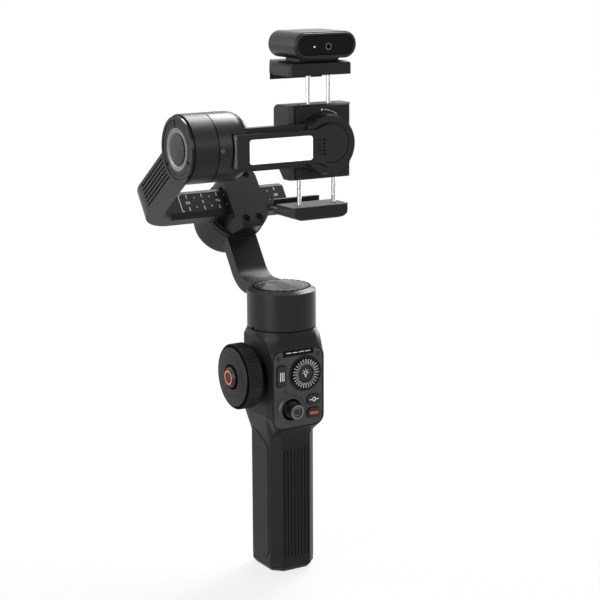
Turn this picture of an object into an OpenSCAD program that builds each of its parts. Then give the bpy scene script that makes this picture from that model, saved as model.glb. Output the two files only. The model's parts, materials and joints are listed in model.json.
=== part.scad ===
// Three-axis smartphone gimbal with a fill light, a side handwheel and a lift-off tracking module.
// Millimetres. +Z runs up the handle, the origin is the middle of the handle's bottom face,
// the control panel faces -Y and the handwheel sits on the -X side.

/* [Grip] */
// Width of the grip, left to right
grip_w = 30; // [29:0.5:33]
// Depth of the grip, front to back
grip_d = 32; // [30:0.5:36]
// Bevel on the grip's four long edges
grip_bevel = 5.5; // [4:0.5:7]
// Height where the grip meets the head
grip_top = 84; // [80:1:90]
// Thickness of the base cap
base_t = 5; // [4:0.5:8]
// Radius of the tripod socket
socket_r = 3.175; // [3.1:0.025:3.25]
// Wall thickness of the handle shells
wall = 2; // [1.6:0.1:2.4]
// Thickness of the rubber grip pads
pad_t = 1.6; // [1.2:0.1:1.8]
// How far the grip pads stand out of the shell
pad_proud = 0.4; // [0.2:0.1:0.8]
// Radius of the battery cell
cell_r = 9.2; // [8.8:0.1:9.3]
// Number of flutes on the grip's front
flute_n = 8; // [4:1:10]
// Distance between flutes
flute_pitch = 2.3; // [1.6:0.1:2.5]

/* [Head] */
// Width of the head above the grip
head_w = 37; // [36:0.5:40]
// Depth of the head
head_d = 37; // [36:0.5:40]
// Bevel on the head's four long edges
head_bevel = 6; // [5:0.5:8]
// Height where the head reaches its full width
head_z = 97; // [95:0.5:99]
// Height where the head starts to close in to the pan motor
collar_z = 143; // [142:0.25:144]
// Height of the seam under the pan motor
seam_z = 147.4; // [147:0.1:149]
// Distance from the handle axis to the parting line of the two shells
split_y = 2; // [1:0.5:3]

/* [Control panel] */
// Width of the panel plate
panel_w = 33; // [32:0.25:33.5]
// Height of the panel plate
panel_h = 46; // [45:0.25:46.5]
// Height of the panel's middle above the base
panel_z = 113.4; // [112.8:0.1:114]
// Thickness of the panel plate
panel_t = 1.6; // [1.2:0.1:1.8]
// Corner radius of the panel plate
panel_r = 5; // [4:0.5:6]
// Radius of the ribbed dial
dial_r = 9.4; // [9:0.1:9.6]
// Radius of the push button in the dial
dial_button_r = 4.8; // [4.2:0.1:5.2]
// Distance from the panel's middle up to the dial's centre
dial_up = 8.6; // [8.4:0.1:8.8]
// Distance from the panel's middle to the dial's centre, sideways
dial_x = 4.5; // [4.3:0.1:4.7]
// Radius of the raised ring round the joystick
stick_ring_r = 8.8; // [8.6:0.1:9]
// Radius of the joystick's cap
stick_cap_r = 4.5; // [4:0.1:5]
// Distance from the panel's middle down to the joystick's centre
stick_down = 12; // [11.8:0.1:12.2]
// Distance from the panel's middle to the joystick's centre, sideways
stick_x = -4.9; // [-5.2:0.1:-4.7]
// Distance from the panel's middle to the tall key's centre, sideways
menu_x = -11.5; // [-11.7:0.1:-11.4]
// Distance from the panel's middle to the two small keys' centres, sideways
key_x = 10.2; // [10.1:0.1:10.4]
// Distance between the two small keys' centres
key_pitch = 8.2; // [8:0.1:8.4]
// How far the panel buttons stand out of the plate
button_proud = 0.9; // [0.6:0.1:1.2]
// Travel of a panel button
button_travel = 0.5; // [0.3:0.1:0.6]

/* [Handwheel] */
// Radius of the handwheel
wheel_r = 19.4; // [18:0.2:20]
// Width of the handwheel's rim
wheel_t = 10; // [8.5:0.5:11]
// Gap between the head and the handwheel
wheel_gap = 4.1; // [3:0.1:5]
// Height of the handwheel's axis
wheel_z = 120.1; // [119.3:0.2:121.3]
// Number of grip grooves round the rim
wheel_grooves = 60; // [36:2:72]
// Radius of the dish in the handwheel's face
dish_r = 8.3; // [7.6:0.1:9]
// Radius of the push button in the handwheel
wheel_button_r = 6; // [5.6:0.1:6.3]
// Radius of the fixed axle tube
axle_r = 5; // [4.6:0.1:5.4]
// Radial running clearance of turning fits
running = 0.05; // [0.03:0.01:0.09]

/* [Motors] */
// Radius of the pan motor
pan_r = 20.25; // [19.75:0.25:20.5]
// Height of the pan motor's turning shell
pan_h = 23.4; // [23:0.1:24]
// Radius of the roll and tilt motors
motor_r = 19.5; // [19:0.25:20]
// Length of the roll motor's housing
roll_len = 19; // [18:0.5:20]
// Length of the tilt motor's housing
tilt_len = 14; // [13.5:0.25:14.5]
// Width of the slope round the pan motor's top
pan_slope_w = 3.2; // [2.4:0.1:3.6]
// Height of the slope round the pan motor's top
pan_slope_h = 1.9; // [1.5:0.1:2.2]
// Wall of the motor housings
motor_wall = 2.5; // [2.2:0.1:2.8]
// Radius of the motor shafts
shaft_r = 3; // [2.6:0.1:3.2]
// Gap at each motor's seam
seam_gap = 0.6; // [0.4:0.05:0.7]

/* [Arms] */
// Height of the tilt axis
tilt_z = 257.5; // [256:0.5:259]
// Distance of the tilt axis behind the handle axis
tilt_y = -12; // [-12.5:0.25:-11.5]
// Slope of the roll axis above level
roll_slope = 36; // [35:0.5:37]
// Distance from the tilt axis back to the front of the roll motor
roll_back = 81; // [80:0.5:82]
// Width of the pan arm
pan_arm_w = 20; // [18:0.5:22]
// Thickness of the pan arm
pan_arm_t = 7.8; // [7:0.2:9]
// Radius of the bend at the pan arm's foot
pan_bend = 14; // [12:0.5:16]
// Height of the sliding scale bar
bar_h = 18; // [16:0.5:18.5]
// Thickness of the sliding scale bar
bar_t = 10; // [9:0.5:10.5]
// Offset of the scale bar's middle across the roll axis
bar_v = 1.2; // [0:0.2:1.6]
// Distance from the roll axis to the scale bar's free end
bar_right = 30; // [28:1:34]
// Thickness of the ribbed arm
side_arm_t = 12; // [10:0.5:12]
// Distance from the roll axis to the ribbed arm's outer face
side_arm_x = 70.5; // [70:0.5:72]
// Number of ribs' grooves on the arm
rib_n = 6; // [4:1:7]

/* [Light arm] */
// Height of the light arm's middle
arm_z = 256.5; // [256:0.25:257]
// Height of the light arm
arm_h = 24; // [22:0.5:25]
// Thickness of the light arm
arm_t = 5; // [4.5:0.25:5.25]
// Radius of the end disc
disc_r = 17.2; // [16.6:0.2:17.8]
// Height of the light housing
light_h = 18.6; // [18:0.2:19]
// Thickness of the light housing
light_t = 5.8; // [5.5:0.1:6.2]
// Width of the light panel
led_w = 40.4; // [36:0.4:41]
// Height of the light panel
led_h = 13.6; // [12:0.2:14]
// How far the light panel's middle sits below the arm's middle
led_drop = 0.6; // [0:0.1:1]

/* [Phone clamp] */
// Distance of the clamp's middle from the handle axis
clamp_x = 14; // [14:0.25:15]
// Width of the clamp block
block_w = 41.4; // [41:0.2:43]
// Height of the clamp block
block_h = 42.2; // [41.4:0.2:43]
// Depth of the clamp block
block_d = 19.4; // [19:0.2:20]
// Depth position of the face that the phone lies against
phone_y = -3; // [-3.2:0.1:-2.8]
// Width of the phone that the jaws are set to
phone_w = 77.6; // [76:0.2:78]
// Thickness of phone that the jaws take
phone_t = 8.3; // [8:0.1:9]
// Width of the upper jaw
upper_jaw_w = 42; // [40:0.5:43]
// Width of the lower jaw
lower_jaw_w = 38; // [36:0.5:38]
// Height of the upper jaw above the phone's edge
jaw_h = 7.2; // [6.5:0.1:7.4]
// Height of the lower jaw below the phone's edge
lower_jaw_h = 5.2; // [4.8:0.1:5.6]
// How far the upper jaw's front hangs over the phone's edge
upper_rise = 0.6; // [0.4:0.1:1]
// How far the lower jaw's front stands over the phone's edge
lower_rise = 2.7; // [2:0.1:3]
// Travel left for each jaw to open further
jaw_open = 1.7; // [1:0.1:1.8]
// Radius of the guide rods
rod_r = 1.3; // [1.1:0.05:1.4]
// Spacing of the upper guide rods
upper_rod_gap = 13.6; // [13.4:0.2:14.4]
// Spacing of the lower guide rods
lower_rod_gap = 23.2; // [23:0.2:24.4]

/* [Tracking module] */
// Width of the tracking module
tracker_w = 41; // [38:0.5:44]
// Height of the tracking module
tracker_h = 15; // [14:0.25:16]
// Depth of the tracking module
tracker_d = 29.5; // [28:0.5:30]

/* [Hidden] */
$fn = 72;
thin = 0.1;
soft_gap = 0.3;
split_gap = 0.25;
flange = 0.6;
head_front = head_d/2 + 0.5;
panel_front = -head_front;
panel_back = panel_front + panel_t;
board_y = -(head_d/2 - 7.3);
board_t = 1.2;
tab_y = -(grip_d/2 - wall - 2.8);
board_half = head_w/2 - wall - 2;
board_top = panel_z + panel_h/2 + 0.2;
dial_z = panel_z + dial_up;
stick_z = panel_z - stick_down;
mode_z = panel_z - 7.8;
record_z = mode_z - key_pitch;
stick_pivot_y = panel_front + 3;
stick_hole = 6.2;
boot_r = stick_hole - 0.15;
wheel_y = split_y;
wheel_in = -(head_w/2 + wheel_gap);
wheel_out = wheel_in - wheel_t;
pan_z0 = seam_z + seam_gap;
pan_z1 = pan_z0 + pan_h;
pivot_z = arm_z;
pivot_r = 4.5;
collar_r = 2.1;
upper_collar = pivot_z + 5;
lower_collar = pivot_z - 7;
post_r = 2.7;
post_x = grip_w/2 - wall - 2.2;
post_low = base_t + 3;
post_high = grip_top - 3.4;
cell_h = post_high - post_r - 2 - base_t - 6;
head_y = grip_d/2 - 5;
power_y = -5;
power_z = panel_z + 10.6;
power_in = head_w/2 - wall - 2.5;
usb_z = panel_z - 10.4;
roll_seam = -(roll_back + 3.6);
roll_rear = roll_seam - roll_len;
bar_back = -(roll_back - 1);
bar_front = bar_back + bar_t;
holder_front = bar_front + 4;
tilt_seam = -57;
tilt_rear = tilt_seam - tilt_len;
root_end = clamp_x - 48.3;
arm_back = phone_y - block_d - 0.6;
arm_front = arm_back - arm_t;
light_front = arm_front - light_t;
block_front = phone_y - block_d;
block_z0 = pivot_z - block_h/2 + 0.9;
block_z1 = block_z0 + block_h;
upper_rod_y = block_front + 3.6;
lower_rod_y = block_front + 5.6;
root_start = tilt_seam + 10.5;
light_start = tilt_seam + 8.8;
led_z = arm_z - led_drop;
phone_z0 = pivot_z - phone_w/2;
phone_z1 = pivot_z + phone_w/2;
led_x = -18.9;
disc_y0 = arm_front - 3.6;
trigger_y = head_d/2 - 3.3;
trigger_z = collar_z - 10;
foot_h = 1.8;
tracker_z0 = phone_z1 + jaw_h + foot_h;
tracker_front = block_front - 5.1;
bear_t = 3;

// Frames and shared outlines

module in_roll() {
    translate([0, tilt_y, tilt_z]) rotate([90 - roll_slope, 0, 0]) children();
}

module in_tilt() {
    translate([0, tilt_y, tilt_z]) rotate([0, 90, 0]) children();
}

module facing_front(x, y, z) {
    translate([x, y, z]) rotate([90, 0, 0]) children();
}

function octagon(w, d, c) = [[-w/2 + c, -d/2], [w/2 - c, -d/2], [w/2, -d/2 + c], [w/2, d/2 - c],
    [w/2 - c, d/2], [-w/2 + c, d/2], [-w/2, d/2 - c], [-w/2, -d/2 + c]];

function arc(cx, cy, r, a0, a1, n) = [for (i = [0:n]) let (a = a0 + (a1 - a0)*i/n)
    [cx + r*cos(a), cy + r*sin(a)]];

function rounded(w, h, r, n = 6) = concat(arc(w/2 - r, h/2 - r, r, 0, 90, n),
    arc(-w/2 + r, h/2 - r, r, 90, 180, n), arc(-w/2 + r, -h/2 + r, r, 180, 270, n),
    arc(w/2 - r, -h/2 + r, r, 270, 360, n));

module octagon_slab(w, d, c, z0, z1) {
    translate([0, 0, z0]) linear_extrude(z1 - z0) polygon(octagon(w, d, c));
}

module ring(r_out, r_in, z0, z1) {
    difference() {
        translate([0, 0, z0]) cylinder(r = r_out, h = z1 - z0);
        translate([0, 0, z0 - 1]) cylinder(r = r_in, h = z1 - z0 + 2);
    }
}

module front_pill(x, z, w, h, r, y0, y1) {
    facing_front(x, y0, z) linear_extrude(y0 - y1) polygon(rounded(w, h, r));
}

// Handle

module handle_outside() {
    octagon_slab(grip_w, grip_d, grip_bevel, base_t, grip_top);
    hull() {
        octagon_slab(grip_w, grip_d, grip_bevel, grip_top - thin, grip_top);
        octagon_slab(head_w, head_d, head_bevel, head_z, head_z + thin);
    }
    octagon_slab(head_w, head_d, head_bevel, head_z, collar_z);
    hull() {
        octagon_slab(head_w, head_d, head_bevel, collar_z - thin, collar_z);
        translate([0, 0, seam_z - thin]) cylinder(r = pan_r, h = thin);
    }
    panel_box();
}

module panel_box() {
    hull() {
        facing_front(0, thin - head_front, panel_z) linear_extrude(thin)
            polygon(rounded(panel_w + 1.8, panel_h + 1.6, panel_r + 1));
        facing_front(0, head_bevel - head_d/2, 0) linear_extrude(thin)
            polygon([[-grip_w/2 + 1.5, grip_top + 1], [grip_w/2 - 1.5, grip_top + 1], [head_w/2, head_z],
                [head_w/2, collar_z], [head_w/2 - 2.2, seam_z - 1.6], [-head_w/2 + 2.2, seam_z - 1.6],
                [-head_w/2, collar_z], [-head_w/2, head_z]]);
    }
}

module handle_inside() {
    octagon_slab(grip_w - 2*wall, grip_d - 2*wall, grip_bevel - wall/2, base_t - 1, head_z);
    octagon_slab(head_w - 2*wall, head_d - 2*wall, head_bevel - wall/2, head_z, seam_z - 6);
    translate([0, 0, seam_z - 7]) cylinder(r = pan_r - 4, h = 10);
    translate([0, 0, seam_z - 3]) cylinder(r = pan_r - 2, h = 10);
}

module pad_outline(grow) {
    front = -grip_d/2 + grip_bevel + 1.5 - grow;
    back = grip_d/2 - grip_bevel - 0.6 + grow;
    low = base_t + 3 - grow;
    polygon([[front + 3, low], [back - 3, low], [back, low + 3], [back, grip_top + 1 + grow],
        [back - 2, grip_top + 2 + grow], [front + 2, grip_top - 5 + grow], [front, grip_top - 7 + grow],
        [front, low + 3]]);
}

module grip_pad(side, grow, proud) {
    x0 = grip_w/2 - pad_t + pad_proud;
    x1 = grip_w/2 + proud;
    translate([side > 0 ? x0 : -x1, 0, 0]) rotate([90, 0, 90]) linear_extrude(x1 - x0) pad_outline(grow);
}

module post_places() {
    for (z = [post_low, post_high]) {
        for (x = [-post_x, post_x]) translate([x, 0, z]) rotate([-90, 0, 0]) children();
    }
}

module screw_posts(r) {
    post_places() cylinder(r = r, h = 60, center = true);
}

module handle_walls() {
    difference() {
        handle_outside();
        handle_inside();
        for (side = [-1, 1]) grip_pad(side, 0, 3);
    }
    intersection() {
        screw_posts(post_r);
        octagon_slab(grip_w - wall, grip_d - wall, grip_bevel, base_t, head_z);
    }
}

module front_shell() {
    color("#2b2b2d") difference() {
        handle_walls();
        translate([-50, split_y, -1]) cube([100, 60, 200]);
        panel_openings();
        flutes();
        side_bore(wheel_y, wheel_z, axle_r);
        translate([0, power_y, power_z]) rotate([0, 90, 0]) cylinder(r = 3.9, h = 40);
        usb_slot();
        post_places() translate([0, 0, -12]) cylinder(r = 0.8, h = 20);
    }
}

module usb_slot() {
    translate([head_w/2 - wall - 1, board_y + board_t + 1.7, usb_z])
        rotate([90, 0, 90]) linear_extrude(10) polygon(rounded(3.8, 9.4, 1.8));
}

module panel_openings() {
    facing_front(0, panel_back, panel_z) linear_extrude(30)
        polygon(rounded(panel_w + 2*split_gap, panel_h + 2*split_gap, panel_r));
    translate([-panel_w/2 + 0.9, panel_front, panel_z - panel_h/2 + 3])
        cube([panel_w - 1.8, 8, panel_h - 6]);
}

module flutes() {
    for (i = [0:flute_n - 1]) {
        translate([(i - (flute_n - 1)/2)*flute_pitch - 0.4, -grip_d/2 - 1, base_t + 4])
            cube([0.8, 1.5, grip_top - base_t - 12]);
    }
}

module side_bore(y, z, r) {
    translate([0, y, z]) rotate([0, -90, 0]) cylinder(r = r, h = 40);
}

module rear_shell() {
    color("#2b2b2d") difference() {
        handle_walls();
        translate([-50, split_y - 60, -1]) cube([100, 60, 200]);
        side_bore(wheel_y, wheel_z, axle_r);
        translate([-6.5, trigger_y - 3.6, trigger_z - 25]) cube([13, 40, 29.5]);
        translate([0, trigger_y, trigger_z]) rotate([0, 90, 0]) cylinder(r = 1, h = 19, center = true);
        screw_posts(1.2);
        post_places() translate([0, 0, head_y]) cylinder(r = 2.1, h = 20);
    }
    color("#2b2b2d") trigger_ears();
}

module trigger_ears() {
    difference() {
        for (side = [-1, 1]) {
            translate([side*7.6 - 1.1, trigger_y - 3.4, trigger_z - 4])
                cube([2.2, head_d/2 - wall - trigger_y + 3.9, 8]);
        }
        translate([0, trigger_y, trigger_z]) rotate([0, 90, 0]) cylinder(r = 1, h = 40, center = true);
    }
}

module base_cap() {
    color("#252527") difference() {
        union() {
            hull() {
                octagon_slab(grip_w - 3.5, grip_d - 3.5, grip_bevel, 0, thin);
                octagon_slab(grip_w, grip_d, grip_bevel, 2.5, base_t);
            }
            translate([0, 0, base_t - 1]) cylinder(r = 7.4, h = 7);
        }
        translate([0, 0, -1]) cylinder(r = 5.5, h = 30);
    }
}

module tripod_insert() {
    color("#b08d4a") ring(5.5, socket_r, 0, base_t + 6);
}

module left_grip_pad() {
    color("#1c1c1d") grip_pad(-1, -split_gap, pad_proud);
}

module right_grip_pad() {
    color("#1c1c1d") grip_pad(1, -split_gap, pad_proud);
}

module battery_cell() {
    color("#5b6f86") translate([0, 0, base_t + 6]) {
        cylinder(r = cell_r, h = cell_h);
        translate([0, 0, cell_h - 0.1]) cylinder(r = 3, h = 1.2);
    }
}

module circuit_board() {
    color("#1f5b3a") {
        translate([-board_half, board_y, head_z + 0.6])
            cube([2*board_half, board_t, board_top - head_z - 0.6]);
        translate([-9, tab_y, head_z - 10]) cube([18, board_t, 12]);
        translate([0, (board_y + tab_y + board_t)/2, head_z + 1.3])
            cube([18, abs(board_y - tab_y) + board_t, 1.4], center = true);
    }
    color("#9a9a9a") {
        translate([stick_x - 5.4, board_y - 2, stick_z - 4]) cube([10.8, 2.05, 9]);
        difference() {
            for (side = [-1, 1]) translate([stick_x + side*5.1 - 0.35, stick_pivot_y - 0.8, stick_z - 1.1])
                cube([0.7, board_y - stick_pivot_y - 1.15, 2.2]);
            translate([stick_x, stick_pivot_y, stick_z]) rotate([0, 90, 0])
                cylinder(r = 0.5 + running, h = 20, center = true);
        }
        for (p = [[menu_x, dial_z], [key_x, mode_z], [key_x, record_z + 1.1]]) {
            translate([p[0] - 1.7, board_y - 1.4, p[1] - 1.7]) cube([3.4, 1.45, 3.4]);
        }
        translate([head_w/2 - wall - 7.5, board_y + board_t - 0.05, usb_z - 4.4]) cube([7.3, 3.2, 8.8]);
        translate([power_in - 4, board_y + board_t - 0.05, power_z - 2]) cube([4, 8, 4]);
    }
    color("#15151a") {
        translate([-8, board_y + board_t - 0.05, head_z + 9]) cube([9, 1.2, 9]);
        translate([-9, board_y + board_t - 0.05, head_z + 29]) cube([7, 1, 6]);
    }
}

module shell_screws() {
    color("#4a4a4c") post_places() {
        translate([0, 0, -6]) cylinder(r = 0.8, h = 6 + split_y);
        translate([0, 0, split_y - 0.05]) cylinder(r = 1, h = head_y - split_y + 0.1);
        translate([0, 0, head_y]) cylinder(r = 1.9, h = 1.4);
    }
}

// Control panel

module plate_hole(x, z, w, h, r) {
    front_pill(x, z, w + 2*split_gap, h + 2*split_gap, r + split_gap, 0, -30);
}

module panel_plate() {
    color("#3a3b3d") difference() {
        union() {
            facing_front(0, panel_back, panel_z) linear_extrude(panel_t)
                polygon(rounded(panel_w, panel_h, panel_r));
            facing_front(stick_x, panel_front + 0.1, stick_z)
                cylinder(r1 = stick_ring_r, r2 = stick_ring_r - 0.8, h = 1.3);
        }
        plate_hole(menu_x, dial_z, 6.2, 12.8, 2);
        plate_hole(key_x, mode_z, 9.2, 6, 2.99);
        plate_hole(key_x, record_z, 9.2, 6, 2.99);
        facing_front(dial_x, 0, dial_z) cylinder(r = dial_r + split_gap, h = 30);
        facing_front(stick_x, panel_front + 1, stick_z)
            cylinder(r1 = stick_hole, r2 = stick_hole + 0.8, h = 4);
        facing_front(stick_x, 0, stick_z) cylinder(r = stick_hole, h = 30);
        translate([-10.4, panel_front - 1, panel_z + panel_h/2 - 3.2]) cube([21, 2, 5]);
        for (x = [-13.3, 13.3]) facing_front(x, panel_front + 0.6, dial_z + 10.4) cylinder(r = 1.5, h = 2);
    }
}

module indicator_lens() {
    color("#202022") translate([-10.1, panel_front + 0.1, panel_z + panel_h/2 - 2.9]) cube([20.2, 0.9, 2.9]);
}

module pill_button(x, z, w, h, r) {
    front_pill(x, z, w, h, r, panel_back + soft_gap + 0.1, panel_front - button_proud);
    front_pill(x, z, w + 2*flange, h + 2*flange, r + flange,
        panel_back + soft_gap + 0.9, panel_back + soft_gap);
    facing_front(x, board_y - 1.4 - button_travel - 0.1, z)
        cylinder(r = 1, h = board_y - 1.4 - button_travel - 0.1 - panel_back - soft_gap);
}

module menu_button() {
    color("#1b1b1d") pill_button(menu_x, dial_z, 6.2, 12.8, 2);
}

module mode_button() {
    color("#1b1b1d") pill_button(key_x, mode_z, 9.2, 6, 2.99);
}

module record_button() {
    color("#1b1b1d") pill_button(key_x, record_z, 9.2, 6, 2.99);
}

function toothed(r_out, r_in, n) = [for (i = [0:2*n - 1]) let (r = i % 2 == 0 ? r_out : r_in)
    for (k = [-1, 1]) let (a = 180*i/n + k*36/n) [r*cos(a), r*sin(a)]];

module dial_wheel() {
    color("#2a2a2c") facing_front(dial_x, 0, dial_z) difference() {
        union() {
            translate([0, 0, head_front]) linear_extrude(0.9)
                polygon(toothed(dial_r - 0.3, dial_r - 0.9, 28));
            translate([0, 0, -panel_back - soft_gap - 0.8])
                cylinder(r = dial_r, h = head_front + panel_back + soft_gap + 0.9);
            translate([0, 0, -panel_back - soft_gap - 0.8]) cylinder(r = dial_r + flange, h = 0.8);
            translate([0, 0, -board_y + soft_gap]) cylinder(r = 7.2, h = 5);
        }
        cylinder(r = dial_button_r + split_gap, h = 60, center = true);
        translate([0, 0, head_front + 0.5]) ring(dial_r - 1.4, dial_button_r + 1.5, 0, 3);
    }
}

module dial_button() {
    color("#303033") facing_front(dial_x, 0, dial_z) {
        translate([0, 0, head_front - 3]) cylinder(r = dial_button_r, h = 3.7);
        translate([0, 0, -board_y + soft_gap + button_travel]) cylinder(r = 1.5, h = head_front + board_y - 3);
    }
}

module joystick_ring() {
    color("#6d6d70") facing_front(stick_x, stick_pivot_y, stick_z) {
        difference() {
            ring(4.5, 3.4, -1, 1);
            rotate([90, 0, 0]) cylinder(r = 0.6 + running, h = 20, center = true);
        }
        for (side = [-1, 1]) translate([side*4.2, 0, 0]) rotate([0, side*90, 0]) cylinder(r = 0.5, h = 1.1);
    }
}

module joystick() {
    color("#2d2d30") facing_front(stick_x, stick_pivot_y, stick_z) {
        sphere(r = 2.4);
        rotate([90, 0, 0]) cylinder(r = 0.6, h = 8.4, center = true);
        cylinder(r = 1.8, h = 10);
        rotate_extrude() polygon(concat(arc(0, 0, boot_r, 11, 37, 4),
            [[0, boot_r*sin(37)], [0, boot_r*sin(37) - 0.4]],
            arc(0, 0, boot_r - 0.35, 33, 11, 4)));
        translate([0, 0, 7.4]) cylinder(r1 = stick_cap_r - 0.8, r2 = stick_cap_r, h = 0.9);
        translate([0, 0, 8.2]) cylinder(r = stick_cap_r, h = 1.4);
        translate([0, 0, 9.5]) ring(stick_cap_r - 0.2, stick_cap_r - 1.4, 0, 0.7);
    }
}

// Side and back controls

module in_wheel() {
    translate([0, wheel_y, wheel_z]) rotate([0, -90, 0]) children();
}

module wheel_axle() {
    color("#8a8a8d") in_wheel() {
        ring(axle_r, 3, head_w/2 - wall, -wheel_out - 1.4);
        ring(axle_r + 2, 3, head_w/2 - wall - 1.5, head_w/2 - wall);
    }
}

module handwheel() {
    face = -wheel_out;
    color("#262628") in_wheel() difference() {
        union() {
            translate([0, 0, -wheel_in + 1]) linear_extrude(wheel_t - 2.4)
                polygon(toothed(wheel_r, wheel_r - 0.5, wheel_grooves));
            translate([0, 0, -wheel_in]) cylinder(r = wheel_r - 0.6, h = wheel_t - 1);
            rotate_extrude() polygon([[0, face - 2], [wheel_r - 1.5, face - 2], [wheel_r - 1.5, face - 0.9],
                [wheel_r - 2.5, face], [dish_r, face + 0.8], [0, face + 0.8]]);
        }
        translate([0, 0, face - 1.8]) ring(wheel_r - 0.9, wheel_r - 1.5, 0, 5);
        translate([0, 0, -wheel_in - 1]) ring(wheel_r - 3, axle_r + 3, 0, wheel_t - 2.4);
        translate([0, 0, face - 0.1]) cylinder(r1 = wheel_button_r + 0.6, r2 = dish_r, h = 0.91);
        translate([0, 0, face - 1.3]) cylinder(r = wheel_button_r + soft_gap, h = 5);
        translate([0, 0, -wheel_in - 5]) cylinder(r = axle_r + running, h = wheel_t + 3.8);
    }
}

module wheel_button() {
    face = -wheel_out;
    color("#3c3c3f") in_wheel() {
        translate([0, 0, face - 0.75]) cylinder(r = wheel_button_r, h = 1.95);
        translate([0, 0, face + 1.2]) cylinder(r1 = wheel_button_r, r2 = wheel_button_r - 1.6, h = 1.4);
        translate([0, 0, head_w/2 - wall + 0.6]) cylinder(r = 2.7, h = face - head_w/2 + wall);
    }
}

module trigger_pin() {
    color("#a8a8ab") translate([0, trigger_y, trigger_z]) rotate([0, 90, 0])
        cylinder(r = 1, h = 17.4, center = true);
}

module trigger() {
    front = trigger_y - 2.6;
    color("#232325") difference() {
        translate([-5.8, 0, 0]) rotate([90, 0, 90]) linear_extrude(11.6)
            polygon(concat([[front, trigger_z - 6], [front, trigger_z + 1.5], [front + 1.5, trigger_z + 3],
                [head_d/2, trigger_z + 3], [head_d/2 + 1.4, trigger_z + 1.4]],
                [for (i = [0:6]) [head_d/2 + 1.6 + 3.6*pow(i/6, 2), trigger_z - 1 - 19*i/6]],
                [[head_d/2 + 4, trigger_z - 21.6], [head_d/2 + 1.6, trigger_z - 20],
                    [head_d/2 - 1.4, trigger_z - 13]]));
        translate([0, trigger_y, trigger_z]) rotate([0, 90, 0])
            cylinder(r = 1 + running, h = 40, center = true);
    }
}

module power_button() {
    color("#1d1d1f") translate([0, power_y, power_z]) rotate([0, 90, 0]) {
        translate([0, 0, head_w/2 - wall - 0.4]) cylinder(r = 3.6, h = wall + 1.1);
        translate([0, 0, head_w/2 - wall - 1]) cylinder(r = 4.5, h = 0.7);
        translate([0, 0, power_in + 0.7]) cylinder(r = 1.2, h = 1.5);
    }
}

// Pan motor and pan arm

module pan_motor_base() {
    color("#8d8f92") {
        ring(pan_r - 2, 4.6, seam_z - 3, seam_z - 0.2);
        ring(6, 4.6, seam_z - 0.3, pan_z1 - 6);
    }
}

module stator(r_out, z0, z1) {
    difference() {
        ring(r_out, 6, z0, z1);
        for (a = [0:30:330]) rotate(a) translate([r_out - 2.6, 0, z0 - 1]) cylinder(r = 1.3, h = z1 - z0 + 2);
    }
}

module bearings(z0, z1) {
    ring(4.6, shaft_r, z0, z0 + bear_t);
    ring(4.6, shaft_r, z1 - bear_t, z1);
}

module pan_stator() {
    color("#b5651d") stator(15, pan_z0 + 2.5, pan_z0 + 14);
}

module pan_bearings() {
    color("#c0c0c4") bearings(seam_z, pan_z1 - 6.5);
}

module pan_outside() {
    translate([0, 0, pan_z0]) cylinder(r = pan_r, h = pan_h - pan_slope_h);
    translate([0, 0, pan_z1 - pan_slope_h - 0.001])
        cylinder(r1 = pan_r, r2 = pan_r - pan_slope_w, h = pan_slope_h + 0.001);
}

module pan_shell() {
    roof = pan_z1 - pan_slope_h - 2.5;
    color("#2f3032") {
        difference() {
            pan_outside();
            translate([0, 0, pan_z0 - 1]) cylinder(r = pan_r - motor_wall, h = roof - pan_z0 + 1);
            translate([0, 0, pan_z1 - 0.8]) cylinder(r = pan_r - pan_slope_w - 0.4, h = 4);
            translate([-pan_r - 1, -2.6, pan_z0 - 0.1]) cube([3, 2.4, 1.3]);
        }
        translate([0, 0, seam_z + 0.4]) cylinder(r = shaft_r - running, h = roof - seam_z - 0.3);
    }
}

module dome(r, edge, rise, n = 10) {
    rotate_extrude() polygon(concat([[0, 0], [r, 0], [r, edge]],
        [for (i = [1:n]) [r*(1 - i/n), edge + rise*(1 - pow(1 - i/n, 2))]]));
}

module pan_cap() {
    color("#3e3f42") translate([0, 0, pan_z1 - 0.8]) dome(pan_r - pan_slope_w - 0.5, 1, 0.7);
}

module pan_magnets() {
    color("#77787c") ring(pan_r - motor_wall, pan_r - motor_wall - 1.5, pan_z0 + 2, pan_z0 + 14.5);
}

function roll_point(v, s) = [tilt_y + v*sin(roll_slope) - s*cos(roll_slope),
    tilt_z + v*cos(roll_slope) + s*sin(roll_slope)];

module pan_arm() {
    top = roll_point(-motor_r + 1, roll_seam - 0.5);
    level = pan_z1 - 0.3;
    mid = [pan_r + 3.6, level + pan_bend];
    slope = atan2(top[1] - mid[1], top[0] - mid[0]) + asin(pan_bend/norm(top - mid));
    inner = top + 7*[cos(slope), sin(slope)];
    off = pan_arm_t*[sin(slope), -cos(slope)];
    color("#2d2d2f") difference() {
        translate([-pan_arm_w/2, 0, 0]) rotate([90, 0, 90]) linear_extrude(pan_arm_w)
            polygon(concat([[pan_r - 6, level]], arc(mid[0], mid[1], pan_bend, -90, slope - 90, 8),
                [inner, inner + off], arc(mid[0], mid[1], pan_bend + pan_arm_t, slope - 90, -90, 10),
                [[pan_r - 6, level - pan_arm_t]]));
        pan_outside();
        translate([0, 0, pan_z1 - 0.1]) cylinder(r = pan_r - pan_slope_w, h = 40);
        in_roll() translate([0, 0, roll_rear]) cylinder(r = motor_r, h = roll_len);
        in_roll() translate([0, 0, roll_seam]) cylinder(r = motor_r + 6, h = 20);
        translate([-3.4, top[0] - 3.9, top[1] - 5.6]) rotate([slope, 0, 0]) cube([6.8, 4.6, 1.2]);
    }
}

// Roll motor

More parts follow.
